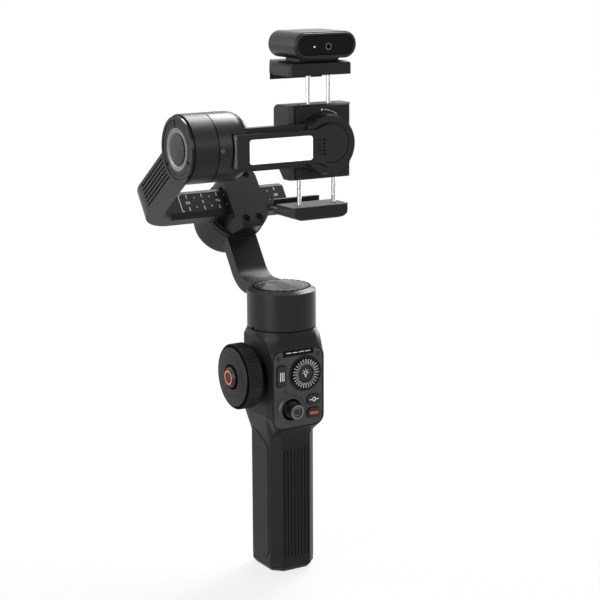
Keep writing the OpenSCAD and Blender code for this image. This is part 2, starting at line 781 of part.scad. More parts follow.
module motor_cup(r, z0, z1, tube_end) {
    difference() {
        translate([0, 0, z0]) cylinder(r = r, h = z1 - z0);
        translate([0, 0, z0 + motor_wall]) cylinder(r = r - motor_wall, h = z1 - z0);
        translate([0, 0, z0 - 1]) cylinder(r = 4.6, h = 10);
    }
    ring(6, 4.6, z0 + motor_wall - 0.1, tube_end);
}

module motor_rotor(r, z0, z1, skirt_r, skirt_end, shaft_end) {
    translate([0, 0, z0]) cylinder(r = r, h = z1 - z0);
    ring(skirt_r, skirt_r - 1, skirt_end, z0 + 0.1);
    translate([0, 0, shaft_end]) cylinder(r = shaft_r - running, h = z0 - shaft_end + 0.1);
}

module end_cap(r, t) {
    cylinder(r = r, h = t*0.5);
    ring(r, r - 2, 0, t);
    ring(r - 4.2, r - 7, 0, t*0.8);
    dome(r - 7.6, t*0.6, t*0.4, 6);
}

module roll_housing() {
    color("#323335") in_roll() difference() {
        motor_cup(motor_r, roll_rear, roll_seam, roll_seam - 3);
        ring(motor_r + 3, motor_r - 0.8, roll_rear - 1, roll_rear + 0.8);
    }
}

module roll_cap() {
    color("#3a3b3e") in_roll() translate([0, 0, roll_rear]) mirror([0, 0, 1]) end_cap(motor_r - 1.6, 2);
}

module roll_stator() {
    color("#b5651d") in_roll() stator(13, roll_rear + 4.5, roll_seam - 3.5);
}

module roll_bearings() {
    color("#c0c0c4") in_roll() bearings(roll_rear + 0.4, roll_seam - 3.2);
}

module roll_rotor() {
    color("#323335") in_roll() difference() {
        motor_rotor(motor_r, roll_seam + seam_gap, -roll_back, motor_r - motor_wall - 0.4,
            roll_rear + 5, roll_rear + 1);
        ring(motor_r + 3, motor_r - 1.6, -roll_back - 1, -roll_back + 1);
    }
}

module roll_magnets() {
    color("#77787c") in_roll() ring(motor_r - motor_wall - 1.4, motor_r - motor_wall - 2.6,
        roll_rear + 5.5, roll_seam + seam_gap - 0.2);
}

module holder_bolt_places() {
    for (x = [-4.4, 4.4]) {
        for (v = [-1, 1]) translate([x, v*(bar_h/2 + 5.6), 0]) children();
    }
}

module slide_holder() {
    color("#2f3032") in_roll() difference() {
        intersection() {
            translate([0, 0, -roll_back]) linear_extrude(holder_front + roll_back)
                polygon(concat(arc(5.5, bar_h/2 + 4, 6, 0, 90, 6), arc(-5.5, bar_h/2 + 4, 6, 90, 180, 6),
                    [[-11.5, -bar_h/2 - 4], [-6.5, -bar_h/2 - 10],
                        [6.5, -bar_h/2 - 10], [11.5, -bar_h/2 - 4]]));
            rotate([90, 0, 90]) translate([0, 0, -12]) linear_extrude(24)
                polygon([[-bar_h/2 - 8, -roll_back], [bar_h/2 + 10, -roll_back],
                    [bar_h/2 + 10, holder_front - 2], [bar_h/2 + 8, holder_front],
                    [-bar_h/2 - 8, holder_front], [-bar_h/2 - 10, holder_front - 3]]);
        }
        translate([-20, bar_v - bar_h/2 - 0.15, bar_back - 0.2]) cube([40, bar_h + 0.3, bar_t + 0.35]);
        holder_bolt_places() translate([0, 0, -roll_back - 1]) cylinder(r = 1.6, h = 30);
        holder_bolt_places() translate([0, 0, holder_front - 2.2]) cylinder(r = 2.6, h = 5);
        translate([0, 0, (bar_back + bar_front)/2]) rotate([-90, 0, 0]) cylinder(r = 2 + running, h = 40);
    }
}

module holder_screws() {
    color("#8b8c90") in_roll() holder_bolt_places() difference() {
        union() {
            translate([0, 0, -roll_back]) cylinder(r = 1.5, h = holder_front + roll_back - 2.1);
            translate([0, 0, holder_front - 2.2]) cylinder(r = 2.4, h = 1.5);
        }
        translate([0, 0, holder_front - 1.5]) cylinder(r = 1.2, h = 4, $fn = 6);
    }
}

module lock_knob() {
    top = bar_h/2 + 10;
    color("#28282a") in_roll() translate([0, 0, (bar_back + bar_front)/2]) rotate([-90, 0, 0]) {
        translate([0, 0, bar_v + bar_h/2 + 0.3]) cylinder(r = 2, h = top - bar_v - bar_h/2);
        translate([0, 0, top + 0.3]) linear_extrude(6) polygon(toothed(5.6, 5.2, 18));
        translate([0, 0, top + 6.2]) cylinder(r1 = 5, r2 = 4.2, h = 0.8);
    }
}

// Scale bar, ribbed arm and tilt motor housing

module side_profile() {
    outer = 22;
    inner = 6;
    x0 = -side_arm_x;
    x1 = -side_arm_x + side_arm_t;
    polygon(concat([[x0, -8], [x0, bar_back + outer]],
        arc(x0 + outer, bar_back + outer, outer, 186, 264, 10),
        [[x0 + outer, bar_back], [bar_right, bar_back], [bar_right, bar_front], [x1 + inner, bar_front]],
        arc(x1 + inner, bar_front + inner, inner, 255, 195, 4), [[x1, bar_front + inner], [x1, -8]]));
}

module support_arm() {
    bevel = 3;
    color("#2e2f31") difference() {
        union() {
            in_roll() translate([0, bar_v, 0]) rotate([90, 0, 0]) linear_extrude(bar_h, center = true)
                side_profile();
            in_tilt() translate([0, 0, tilt_rear]) cylinder(r = motor_r, h = tilt_len);
        }
        in_tilt() translate([0, 0, tilt_rear + motor_wall]) cylinder(r = motor_r - motor_wall, h = 40);
        in_tilt() translate([0, 0, tilt_rear - 1]) cylinder(r = 4.6, h = 20);
        in_roll() for (i = [0:rib_n - 1]) {
            translate([-side_arm_x - 1, bar_v + (i - (rib_n - 1)/2)*2.5 - 0.6, bar_back + 24])
                cube([1.8, 1.2, -bar_back - 24 - motor_r - 0.5]);
        }
        in_roll() for (side = [-1, 1]) {
            translate([-side_arm_x + side_arm_t + 8, bar_v + side*bar_h/2, bar_front - bevel])
                rotate([45, 0, 0])
                cube([200, side > 0 ? 9 : bevel*sqrt(2), side > 0 ? bevel*sqrt(2) : 9]);
        }
    }
    color("#2e2f31") in_tilt() ring(6, 4.6, tilt_rear + motor_wall - 0.1, tilt_seam - 1.5);
}

module tilt_end_cap() {
    color("#3a3b3e") in_tilt() translate([0, 0, tilt_rear]) mirror([0, 0, 1]) end_cap(motor_r - 1, 2);
}

module tilt_stator() {
    color("#b5651d") in_tilt() stator(13, tilt_rear + 3.2, tilt_seam - 2);
}

module tilt_bearings() {
    color("#c0c0c4") in_tilt() bearings(tilt_rear + 0.3, tilt_seam - 2);
}

module tilt_rotor() {
    color("#88898d") in_tilt() motor_rotor(motor_r - 0.7, tilt_seam + seam_gap, tilt_seam + 2.2,
        motor_r - motor_wall - 0.4, tilt_rear + 3.5, tilt_rear + 0.8);
}

module tilt_magnets() {
    color("#77787c") in_tilt() ring(motor_r - motor_wall - 1.4, motor_r - motor_wall - 2.6,
        tilt_rear + 4, tilt_seam + seam_gap - 0.2);
}

// Tilt arm with its light

module bowl(r, end_r, z0, z1, z2) {
    rotate_extrude() polygon(concat([[0, z0], [r, z0], [r, z1]],
        [for (i = [1:8]) [end_r + (r - end_r)*cos(90*i/8), z1 + (z2 - z1)*sin(90*i/8)]], [[0, z2]]));
}

module neck_outline(h, r, fillet, x0, corner) {
    c = -sqrt(pow(r + fillet, 2) - pow(h/2 + fillet, 2));
    turn = atan2(h/2 + fillet, -c);
    left = x0 - clamp_x;
    circle(r = r);
    polygon(concat(arc(c, -h/2 - fillet, fillet, 90, turn, 4), arc(c, h/2 + fillet, fillet, -turn, -90, 4),
        arc(left + corner, h/2 - corner, corner, 90, 180, 3),
        arc(left + corner, corner - h/2, corner, 180, 270, 3)));
}

module tilt_arm() {
    z0 = tilt_seam + 2.2;
    color("#2d2e30") difference() {
        union() {
            in_tilt() bowl(motor_r, 13, tilt_seam + seam_gap, tilt_seam + 14, root_end);
            facing_front(clamp_x, arm_back, arm_z) linear_extrude(arm_t)
                neck_outline(arm_h, disc_r, 12, root_start, 2);
            facing_front(clamp_x, arm_front + 0.1, arm_z)
                cylinder(r1 = disc_r, r2 = disc_r - 0.7, h = arm_front - disc_y0 + 0.1);
        }
        in_tilt() translate([0, 0, tilt_seam]) cylinder(r = motor_r - 0.7, h = 2.2);
        in_tilt() bowl(motor_r - 2.2, 10.8, z0 - 0.1, tilt_seam + 13, root_end - 2);
        translate([tilt_seam + 4.5, tilt_y - 0.8, tilt_z + motor_r - 0.7]) cube([5, 1.6, 2]);
        facing_front(clamp_x, arm_front + 0.05, arm_z) linear_extrude(8)
            neck_outline(light_h + 0.6, 12.6, 7.7, light_start - 0.3, 0.5);
    }
    color("#8a8a8d") facing_front(clamp_x, arm_back + 9.5, arm_z) cylinder(r = pivot_r, h = 9.6);
}

module light_housing() {
    bend = light_t - 0.4;
    color("#303133") difference() {
        intersection() {
            facing_front(clamp_x, arm_front, arm_z) linear_extrude(light_t)
                neck_outline(light_h, 12.3, 8, light_start, 1.5);
            translate([0, 0, arm_z - 30]) linear_extrude(60)
                polygon(concat([[60, light_front], [60, arm_front + 1], [light_start - 1, arm_front + 1]],
                    [[light_start, arm_front]],
                    arc(light_start + bend, light_front + bend, bend, 180, 270, 8)));
        }
        in_tilt() translate([0, 0, -80]) cylinder(r = motor_r, h = 80 + root_end - 1);
        facing_front(led_x, light_front + light_t - 1.2, led_z) linear_extrude(light_t)
            polygon(rounded(led_w + 2*split_gap, led_h + 2*split_gap, 1.6 + split_gap));
        for (i = [-2:2]) translate([clamp_x - 9.6, light_front - 1, arm_z + i*2 - 1.1]) cube([5, 2, 1.2]);
    }
}

module light_diffuser() {
    color("#f4f4f0") facing_front(led_x, light_front + 1.7, led_z) linear_extrude(1.6)
        polygon(rounded(led_w, led_h, 1.6));
}

module led_board() {
    color("#d8d8d0") {
        translate([led_x - led_w/2 + 0.5, light_front + 3.6, led_z - led_h/2 + 0.5])
            cube([led_w - 1, 1, led_h - 1]);
        for (i = [0:7]) {
            translate([led_x - led_w/2 + (i + 0.5)*led_w/8 - 1.4, light_front + 2.6, led_z - 1.4])
                cube([2.8, 1.05, 2.8]);
        }
    }
}

// Phone clamp

module rods_at(gap, y, r, z0, z1) {
    for (side = [-1, 1]) translate([clamp_x + side*gap/2, y, z0]) cylinder(r = r, h = z1 - z0);
}

module clamp_block() {
    bevel = 2;
    inside = 3.5;
    color("#2c2d2f") difference() {
        intersection() {
            translate([clamp_x, 0, block_z0]) linear_extrude(block_h)
                polygon([[-block_w/2 + bevel, block_front], [block_w/2 - bevel, block_front],
                    [block_w/2, block_front + bevel], [block_w/2, phone_y - 1], [block_w/2 - 1, phone_y],
                    [-block_w/2 + 1, phone_y], [-block_w/2, phone_y - 1], [-block_w/2, block_front + bevel]]);
            rotate([90, 0, 90]) translate([0, 0, clamp_x - block_w]) linear_extrude(2*block_w)
                polygon(concat([[block_front, block_z0], [lower_rod_y + rod_r + 1, block_z0],
                    [phone_y, block_z0 + 12.5]], arc(phone_y - 6, block_z1 - 6, 6, 0, 90, 6),
                    [[block_front + 1, block_z1], [block_front, block_z1 - 1]]));
        }
        translate([clamp_x - block_w/2 + inside, upper_rod_y - 2.4, block_z0 + inside])
            cube([block_w - 2*inside, lower_rod_y - upper_rod_y + 4.9, block_h - 2*inside]);
        facing_front(clamp_x, arm_back + 10, pivot_z) cylinder(r = pivot_r + running, h = 30);
        rods_at(upper_rod_gap, upper_rod_y, rod_r + running, pivot_z - 6, block_z1 + 1);
        rods_at(lower_rod_gap, lower_rod_y, rod_r + running, block_z0 - 1, block_z1 + 1);
        translate([clamp_x - 14, phone_y - 0.9, block_z0 + 13.8]) cube([28, 2, block_h - 20.8]);
        translate([clamp_x - block_w/2 + bevel + 0.1, block_front - 1, block_z0 - 1])
            cube([1.6, 1.5, block_h + 2]);
    }
}

module clamp_pad() {
    color("#1a1a1b") translate([clamp_x - 13.8, phone_y - 0.9, block_z0 + 14])
        cube([27.6, 0.9, block_h - 21.2]);
}

module upper_rods() {
    color("#d9dadd") rods_at(upper_rod_gap, upper_rod_y, rod_r, pivot_z - 5.5, phone_z1 + jaw_h - 1.4);
    color("#d9dadd") rods_at(upper_rod_gap, upper_rod_y, collar_r, upper_collar, upper_collar + 1);
}

module lower_rods() {
    color("#d9dadd")
        rods_at(lower_rod_gap, lower_rod_y, rod_r, phone_z0 - lower_jaw_h + 1.6, block_z1 - 6.4);
    color("#d9dadd") rods_at(lower_rod_gap, lower_rod_y, collar_r, lower_collar - 1, lower_collar);
}

module spring(side, gap, y, z0, z1) {
    translate([clamp_x + side*gap/2, y, 0]) ring(rod_r + 0.9, rod_r + 0.3, z0, z1);
}

module upper_springs() {
    color("#8f9094") for (side = [-1, 1]) {
        spring(side, upper_rod_gap, upper_rod_y, upper_collar + 1.2 + jaw_open, block_z1 - 3.6);
    }
}

module lower_springs() {
    color("#8f9094") for (side = [-1, 1]) {
        spring(side, lower_rod_gap, lower_rod_y, block_z0 + 3.6, lower_collar - 1.2 - jaw_open);
    }
}

module jaw_body(w, corner, h, rise, fall) {
    lip = phone_y + phone_t;
    difference() {
        intersection() {
            translate([clamp_x, lip + 2.6, h/2 - 0.01]) rotate([90, 0, 0])
                linear_extrude(lip + 2.6 - block_front)
                polygon(concat([[w/2, -h/2 - 4]], arc(w/2 - corner, h/2 - corner, corner, 0, 90, 8),
                    arc(-w/2 + corner, h/2 - corner, corner, 90, 180, 8), [[-w/2, -h/2 - 4]]));
            translate([clamp_x, 0, -10]) linear_extrude(40)
                polygon([[-w/2 + 1.5, block_front], [w/2 - 1.5, block_front], [w/2, block_front + 1.5],
                    [w/2, phone_y + 3], [w/2 - 5, lip + 2.6], [-w/2 + 5, lip + 2.6], [-w/2, phone_y + 3],
                    [-w/2, block_front + 1.5]]);
            rotate([90, 0, 90]) translate([0, 0, clamp_x - w]) linear_extrude(2*w)
                polygon([[block_front, -8], [lip + 2.6, -8], [lip + 2.6, h - fall], [block_front + 1.2, h],
                    [block_front, h - 1]]);
        }
        translate([clamp_x - 40, -60, -20]) cube([80, 59.6 + phone_y, 20 - rise]);
        translate([clamp_x - 40, phone_y - 0.4, -20]) cube([80, phone_t + 0.4, 20.4]);
    }
}

module upper_jaw() {
    color("#262628") difference() {
        union() {
            translate([0, 0, phone_z1]) jaw_body(upper_jaw_w, 5.5, jaw_h, upper_rise, 0);
            translate([clamp_x - 13, block_front + 2.5, phone_z1 + jaw_h - 0.1]) cube([26, 15, foot_h + 0.1]);
        }
        rods_at(upper_rod_gap, upper_rod_y, rod_r, phone_z1 - 2, phone_z1 + jaw_h - 1.4);
    }
}

module lower_jaw() {
    color("#262628") difference() {
        translate([0, 0, phone_z0]) mirror([0, 0, 1]) jaw_body(lower_jaw_w, 7, lower_jaw_h, lower_rise, 1.2);
        rods_at(lower_rod_gap, lower_rod_y, rod_r, phone_z0 - lower_jaw_h + 1.6, phone_z0 + 4);
    }
}

// Tracking module

module tracker_body() {
    color("#343537") translate([clamp_x, 0, tracker_z0 + tracker_h/2]) difference() {
        union() {
            translate([0, tracker_front + tracker_d, 0]) rotate([90, 0, 0]) linear_extrude(tracker_d - 1)
                polygon(rounded(tracker_w, tracker_h, tracker_h/2 - 0.05, 10));
            translate([0, tracker_front + 1.1, 0]) rotate([90, 0, 0]) linear_extrude(1.1)
                polygon(rounded(tracker_w - 1.4, tracker_h - 1.4, tracker_h/2 - 0.8, 10));
        }
        translate([0, tracker_front + 1.6, 0]) rotate([90, 0, 0]) linear_extrude(5)
            polygon(rounded(tracker_w - 4.6, tracker_h - 4.2, tracker_h/2 - 2.15, 10));
    }
}

module tracker_window() {
    color("#0c0c0e") translate([clamp_x, tracker_front + 1.6, tracker_z0 + tracker_h/2]) rotate([90, 0, 0])
        linear_extrude(1.2) polygon(rounded(tracker_w - 5, tracker_h - 4.6, tracker_h/2 - 2.35, 10));
}

front_shell();
rear_shell();
base_cap();
tripod_insert();
left_grip_pad();
right_grip_pad();
panel_plate();
indicator_lens();
battery_cell();
circuit_board();
pan_motor_base();
pan_stator();
pan_bearings();
shell_screws();
wheel_axle();
trigger_pin();
menu_button();
mode_button();
record_button();
dial_wheel();
dial_button();
joystick_ring();
joystick();
handwheel();
wheel_button();
trigger();
power_button();
pan_shell();
pan_cap();
pan_magnets();
pan_arm();
roll_housing();
roll_cap();
roll_stator();
roll_bearings();
roll_rotor();
roll_magnets();
slide_holder();
holder_screws();
lock_knob();
support_arm();
tilt_end_cap();
tilt_stator();
tilt_bearings();
tilt_rotor();
tilt_magnets();
tilt_arm();
light_housing();
light_diffuser();
led_board();
clamp_block();
clamp_pad();
upper_springs();
lower_springs();
upper_jaw();
upper_rods();
lower_jaw();
lower_rods();
tracker_body();
tracker_window();
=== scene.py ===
import json
from math import cos, hypot, radians, sin

import bmesh
import bpy
from mathutils import Matrix, Vector
from mathutils.kdtree import KDTree

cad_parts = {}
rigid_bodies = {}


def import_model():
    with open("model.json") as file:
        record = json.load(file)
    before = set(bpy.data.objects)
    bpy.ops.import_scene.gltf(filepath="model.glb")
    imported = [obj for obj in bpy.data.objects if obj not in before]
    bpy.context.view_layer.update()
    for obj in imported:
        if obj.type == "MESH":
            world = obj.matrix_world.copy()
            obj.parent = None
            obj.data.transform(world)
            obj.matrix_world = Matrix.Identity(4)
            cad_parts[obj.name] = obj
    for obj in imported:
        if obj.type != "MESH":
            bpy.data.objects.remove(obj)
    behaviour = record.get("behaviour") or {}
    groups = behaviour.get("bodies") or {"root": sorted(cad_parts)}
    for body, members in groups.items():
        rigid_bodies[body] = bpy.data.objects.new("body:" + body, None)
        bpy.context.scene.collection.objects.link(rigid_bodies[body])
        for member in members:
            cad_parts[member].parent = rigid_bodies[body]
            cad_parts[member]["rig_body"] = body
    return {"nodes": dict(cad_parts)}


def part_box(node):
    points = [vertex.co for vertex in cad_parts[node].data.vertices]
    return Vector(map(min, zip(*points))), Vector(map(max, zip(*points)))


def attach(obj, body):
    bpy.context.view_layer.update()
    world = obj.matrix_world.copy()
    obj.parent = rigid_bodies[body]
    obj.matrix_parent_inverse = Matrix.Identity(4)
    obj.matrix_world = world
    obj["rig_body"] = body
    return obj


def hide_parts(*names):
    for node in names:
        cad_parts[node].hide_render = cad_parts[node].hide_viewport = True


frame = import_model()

bl_info = {
    "name": "Smartphone gimbal looks",
    "version": (1, 0, 0),
    "blender": (4, 5, 0),
    "location": "3D View > Sidebar > Gimbal",
    "description": "Builds the looks of a three-axis smartphone gimbal round its CAD frame",
    "category": "Object",
}

MM = 0.001
NODES = frame["nodes"]
# Shapes and places below are in millimetres and degrees, except where a length is multiplied by MM.


# Colours and materials

def linear(code):
    """An sRGB hex colour as linear red, green, blue."""
    out = []
    for i in (0, 2, 4):
        c = int(code[i:i + 2], 16) / 255
        out.append(c / 12.92 if c <= 0.04045 else ((c + 0.055) / 1.055) ** 2.4)
    return tuple(out)


def add(tree, kind, inputs=None, links=None, **settings):
    """Adds a shader node with its settings, its constant inputs and its links."""
    made = tree.nodes.new(kind)
    for key, value in settings.items():
        setattr(made, key, value)
    for key, value in (inputs or {}).items():
        made.inputs[key].default_value = value
    for key, value in (links or {}).items():
        tree.links.new(value, made.inputs[key])
    return made


def empty_tree(owner):
    """The node tree of a material or a world, without its nodes."""
    owner.use_nodes = True
    owner.node_tree.nodes.clear()
    return owner.node_tree


def finish_of(name, colour, roughness, ior=1.5, metallic=0.0, grain_mm=0.0, grain=0.0, speckle=0.0,
              coat=0.0, specular=0.3, light=0.0):
    """One material on Object coordinates: a colour and a fine grain that makes its gloss uneven.

    The grain is a bump of that strength. The roughness goes up and down with it by the speckle.
    """
    coat_roughness = 0.05
    bump_depth = 0.05 * MM
    smoothest = 0.02
    found = bpy.data.materials.get(name)
    if found:
        return found
    material = bpy.data.materials.new(name)
    tree = empty_tree(material)
    rgb = tuple(colour) + (1.0,)
    shader = add(tree, "ShaderNodeBsdfPrincipled", {
        "Base Color": rgb, "Roughness": roughness, "Metallic": metallic, "IOR": ior,
        "Coat Weight": coat, "Coat Roughness": coat_roughness, "Specular IOR Level": specular})
    if light:
        shader.inputs["Emission Color"].default_value = rgb
        shader.inputs["Emission Strength"].default_value = light
    if grain_mm:
        where = add(tree, "ShaderNodeTexCoord").outputs["Object"]
        # The noise runs one wave in each grain's width. Real grains are under a tenth of a millimetre
        # wide, too fine to show in the render, so they are drawn several times as coarse.
        noise = add(tree, "ShaderNodeTexNoise", {"Scale": 1 / (grain_mm * MM), "Detail": 2.0},
                    {"Vector": where})
        low = max(roughness - speckle, smoothest)
        rough = add(tree, "ShaderNodeMapRange", {"To Min": low, "To Max": min(roughness + speckle, 1.0)},
                    {"Value": noise.outputs["Fac"]})
        bump = add(tree, "ShaderNodeBump", {"Strength": grain, "Distance": bump_depth},
                   {"Height": noise.outputs["Fac"]})
        tree.links.new(rough.outputs["Result"], shader.inputs["Roughness"])
        tree.links.new(bump.outputs["Normal"], shader.inputs["Normal"])
    add(tree, "ShaderNodeOutputMaterial", links={"Surface": shader.outputs["BSDF"]})
    return material


def tint(name, description, code):
    """A colour setting with a hex colour as its default."""
    return bpy.props.FloatVectorProperty(name=name, description=description, subtype="COLOR", size=3,
                                         min=0, max=1, default=linear(code))


def span(name, description, default, low, high):
    """A length setting with its default and its limits in millimetres."""
    return bpy.props.FloatProperty(name=name, description=description, default=default * MM,
                                   min=low * MM, max=high * MM, unit="LENGTH")


class GimbalColours(bpy.types.PropertyGroup):
    """Colours of the gimbal's finishes."""
    handle: tint("Handle", "Moulded handle shells", "141414")
    panel: tint("Panel", "Plate of the control panel", "303134")
    keys: tint("Keys", "Buttons, dial, trigger and joystick", "121213")
    motors: tint("Motors and arms", "Anodised motor housings and arms", "161617")
    clamp: tint("Clamp", "Clamp block and jaws", "141415")
    accent: tint("Accent", "Orange ring and bar", "d4622a")
    print_ink: tint("Print", "Printed marks", "e4e4e4")
    lamp: tint("Light", "Diffuser of the fill light", "fdfdfd")


class GimbalSizes(bpy.types.PropertyGroup):
    """Sizes of the details that the frame doesn't hold."""
    edge: span("Edge radius", "Rounding of moulded edges", 0.45, 0.1, 1.0)
    fine_edge: span("Fine edge radius", "Rounding of edges on small pieces", 0.22, 0.05, 0.5)
    ink: span("Print thickness", "How far printed marks stand out", 0.03, 0.01, 0.1)
    scale_step: span("Scale step", "Distance between short marks on the balance bar", 5, 2, 10)
    dial_ridges: bpy.props.IntProperty(
        name="Dial ridges", description="Number of ridges on the panel's dial", default=28, min=12,
        max=40)


def colours():
    """The scene's colour settings."""
    return bpy.context.scene.gimbal_colours


def sizes():
    """The scene's size settings."""
    return bpy.context.scene.gimbal_sizes


# Injection-moulded ABS with a spark-eroded grain: dull black, with a soft wide highlight.
def moulded_abs():
    return finish_of("ABS, moulded with a fine grain", colours().handle, 0.45, 1.53, grain_mm=0.35,
                     grain=0.3, speckle=0.08, specular=0.15)


# Glass-filled nylon of the clamp: as black as the handle and a bit smoother, so its flats look calmer.
def moulded_nylon():
    return finish_of("Glass-filled nylon, moulded", colours().clamp, 0.42, 1.53, grain_mm=0.4, grain=0.2,
                     speckle=0.06, specular=0.17)


# Painted panel plate: a dark grey, lighter than the shells round it, with a calm satin sheen.
def satin_panel():
    return finish_of("Polycarbonate, satin painted", colours().panel, 0.42, 1.58, grain_mm=0.5,
                     grain=0.08, speckle=0.04)


# Moulded and lightly blasted keys: black on the grey panel, with a soft light along their edges.
def satin_keys():
    return finish_of("ABS, satin moulded keys", colours().keys, 0.38, 1.53, grain_mm=0.3, grain=0.12,
                     speckle=0.05)


# Bead-blasted and anodised aluminium: reads as a dark grey with wide soft highlights down each cylinder.
def anodised():
    return finish_of("Aluminium, blasted and black anodised", colours().motors, 0.38, 1.6, metallic=0.05,
                     grain_mm=0.3, grain=0.12, speckle=0.06, specular=0.16)


# Gloss moulded caps: a deep black that mirrors the lamps dimly.
def gloss_cap():
    return finish_of("Polycarbonate, gloss black", linear("0c0c0d"), 0.2, 1.58, specular=0.16)


# Half gloss of the tilt arm, the light and the tracking module: highlights run wide round corners.
def half_gloss():
    return finish_of("Polycarbonate, half gloss black", linear("111112"), 0.3, 1.58, grain_mm=0.4,
                     grain=0.04, speckle=0.03, specular=0.2)


# Satin inlay of the caps: a dark grey that stays even where the gloss round it mirrors the light.
def satin_inlay():
    return finish_of("Polycarbonate, satin grey", linear("262628"), 0.42, 1.58, specular=0.15)


# Painted highlight on the tops of the dial's ridges: lighter, so the black slots between them read.
def ridge_top_highlight():
    return finish_of("Painted highlight, light grey ridge tops", linear("8c8d8f"), 0.42, 1.53)


# Smoked and polished acrylic: a black pane with small clear reflections.
def dark_window():
    return finish_of("Acrylic, smoked and polished", linear("050507"), 0.06, 1.49, specular=0.12)


# Overmoulded elastomer: flat black with next to no gloss.
def soft_rubber():
    return finish_of("Elastomer, overmoulded", linear("131313"), 0.7, grain_mm=0.6, grain=0.5,
                     speckle=0.06)


# Ground and polished rods and springs: they mirror the white room, with dark lines at the sides.
def polished_steel():
    return finish_of("Stainless steel, ground and polished", linear("b4b6ba"), 0.16, metallic=1.0)


# Black oxide on screws and pins: near black, with a small bright spot on each head.
def dark_screw():
    return finish_of("Steel, black oxide", linear("1e1e20"), 0.3, metallic=0.9)


# The turned insert of the tripod socket: a warm yellow glint inside the base.
def turned_brass():
    return finish_of("Brass, turned", linear("c69d58"), 0.28, metallic=1.0)


# Polished and anodised trim rings: a grey metal line that catches the light.
def dark_trim():
    return finish_of("Aluminium, polished and grey anodised", linear("77757a"), 0.28, metallic=1.0)


# Painted shade in slots, recesses, gaps and seams, and the black of the tracker's lens: next to black,
# with no highlight.
def black_and_painted_shade():
    return finish_of("Unlit black and painted shade", linear("030303"), 0.9, specular=0.02)


# Pad-printed marks: light grey and flat, so they read clearly on black.
def white_ink():
    return finish_of("Ink, pad printed light grey", colours().print_ink, 0.6)


# Fainter printed marks and rings, and the painted highlight on the joystick's rim: a mid grey that shows
# only close by.
def dim_ink_and_highlight():
    return finish_of("Mid grey print and painted highlight", linear("6d6e71"), 0.6)


# Orange lacquer: the only strong colour, with a light gloss.
def orange_paint():
    return finish_of("Lacquer, orange", colours().accent, 0.35, coat=0.2)


# Opal acrylic lit from behind: pure white and even.
def lit_diffuser():
    return finish_of("Acrylic, opal diffuser", colours().lamp, 0.4, 1.49, light=0.55)


# Circuit boards: the usual green under a smooth mask, seen only inside.
def board_green():
    return finish_of("Epoxy laminate, green mask", linear("1f5b3a"), 0.4, 1.55)


# Enamelled windings: a warm brown metal, seen only inside.
def wound_copper():
    return finish_of("Copper, enamelled winding", linear("a45a2c"), 0.35, metallic=0.9)


# Nickel plate on the magnets: a cool grey metal, seen only inside.
def nickel_magnet():
    return finish_of("Magnet, nickel plated", linear("8f9094"), 0.3, metallic=1.0)


# The battery cell's shrink wrap: a muted blue with a light gloss, seen only inside.
def cell_wrap():
    return finish_of("PVC shrink wrap, blue", linear("3f5a78"), 0.4, 1.54)


# Places

def place(x, y, z):
    """A spot in the shared frame."""
    return Matrix.Translation(Vector((x, y, z)) * MM)


def facing_front(x, y, z):
    """Local X along X, local Y up, local Z out to the front."""
    return place(x, y, z) @ Matrix.Rotation(radians(90), 4, "X")


def facing_left(x, y, z):
    """Local Z out to the left."""
    return place(x, y, z) @ Matrix.Rotation(radians(-90), 4, "Y")


def facing_right(x, y, z):
    """Local Z out to the right."""
    return place(x, y, z) @ Matrix.Rotation(radians(90), 4, "Y")


def middle(node):
    """The middle of a node's box."""
    low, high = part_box(node)
    return (Vector(low) + Vector(high)) / (2 * MM)


def on_front(node):
    """The middle of a node's front side, facing out to the front."""
    spot = middle(node)
    return facing_front(spot.x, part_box(node)[0].y / MM, spot.z)


def on_left(node):
    """The middle of a node's left side, facing out to the left."""
    spot = middle(node)
    return facing_left(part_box(node)[0].x / MM, spot.y, spot.z)


def on_right(node):
    """The middle of a node's right side, facing out to the right."""
    spot = middle(node)
    return facing_right(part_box(node)[1].x / MM, spot.y, spot.z)


ORIGIN = place(0, 0, 0)
# The front face of the panel's plate.
PLATE_Y = -19
# The tilt axis runs along X through this point.
TILT_Y = -12
TILT_Z = 257.5
# The roll axis meets the tilt axis and rises towards the front by this angle. It is IN_ROLL's local Z.
SLOPE = 36
IN_ROLL = place(0, TILT_Y, TILT_Z) @ Matrix.Rotation(radians(90 - SLOPE), 4, "X")
# The balance bar's front face along the roll axis, and the height of its middle line above that axis.
BAR_FRONT = -70
BAR_LIFT = 1.2
# The middle plane of the clamp, where it turns on the tilt arm.
CLAMP_X = 14


# Shapes

# CAD triangles are joined within this distance and this angle before their edges are rounded.
WELD = 0.002 * MM
FLAT = 0.6


def shown(name, data):
    """A new object in the scene."""
    made = bpy.data.objects.new(name, data)
    bpy.context.scene.collection.objects.link(made)
    return made


def join_piece(name, mesh, material, body, smooth=32, weighted=False):
    """Turns a bmesh into a piece that rides on a body. Edges sharper than 'smooth' stay sharp."""
    data = bpy.data.meshes.new(name)
    mesh.to_mesh(data)
    mesh.free()
    data.materials.append(material)
    for face in data.polygons:
        face.use_smooth = True
    data.set_sharp_from_angle(angle=radians(smooth))
    piece = shown(name, data)
    if weighted:
        shade = piece.modifiers.new("Even shading", "WEIGHTED_NORMAL")
        shade.keep_sharp = True
    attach(piece, body)
    return piece


def bevelled(mesh, geom, radius, segments, affect="EDGES", clamp=False):
    """Rounds edges or corners of a mesh by a radius in metres."""
    return bmesh.ops.bevel(mesh, geom=geom, offset=radius, offset_type="OFFSET", segments=segments,
                           profile=0.5, affect=affect, clamp_overlap=clamp, material=-1)


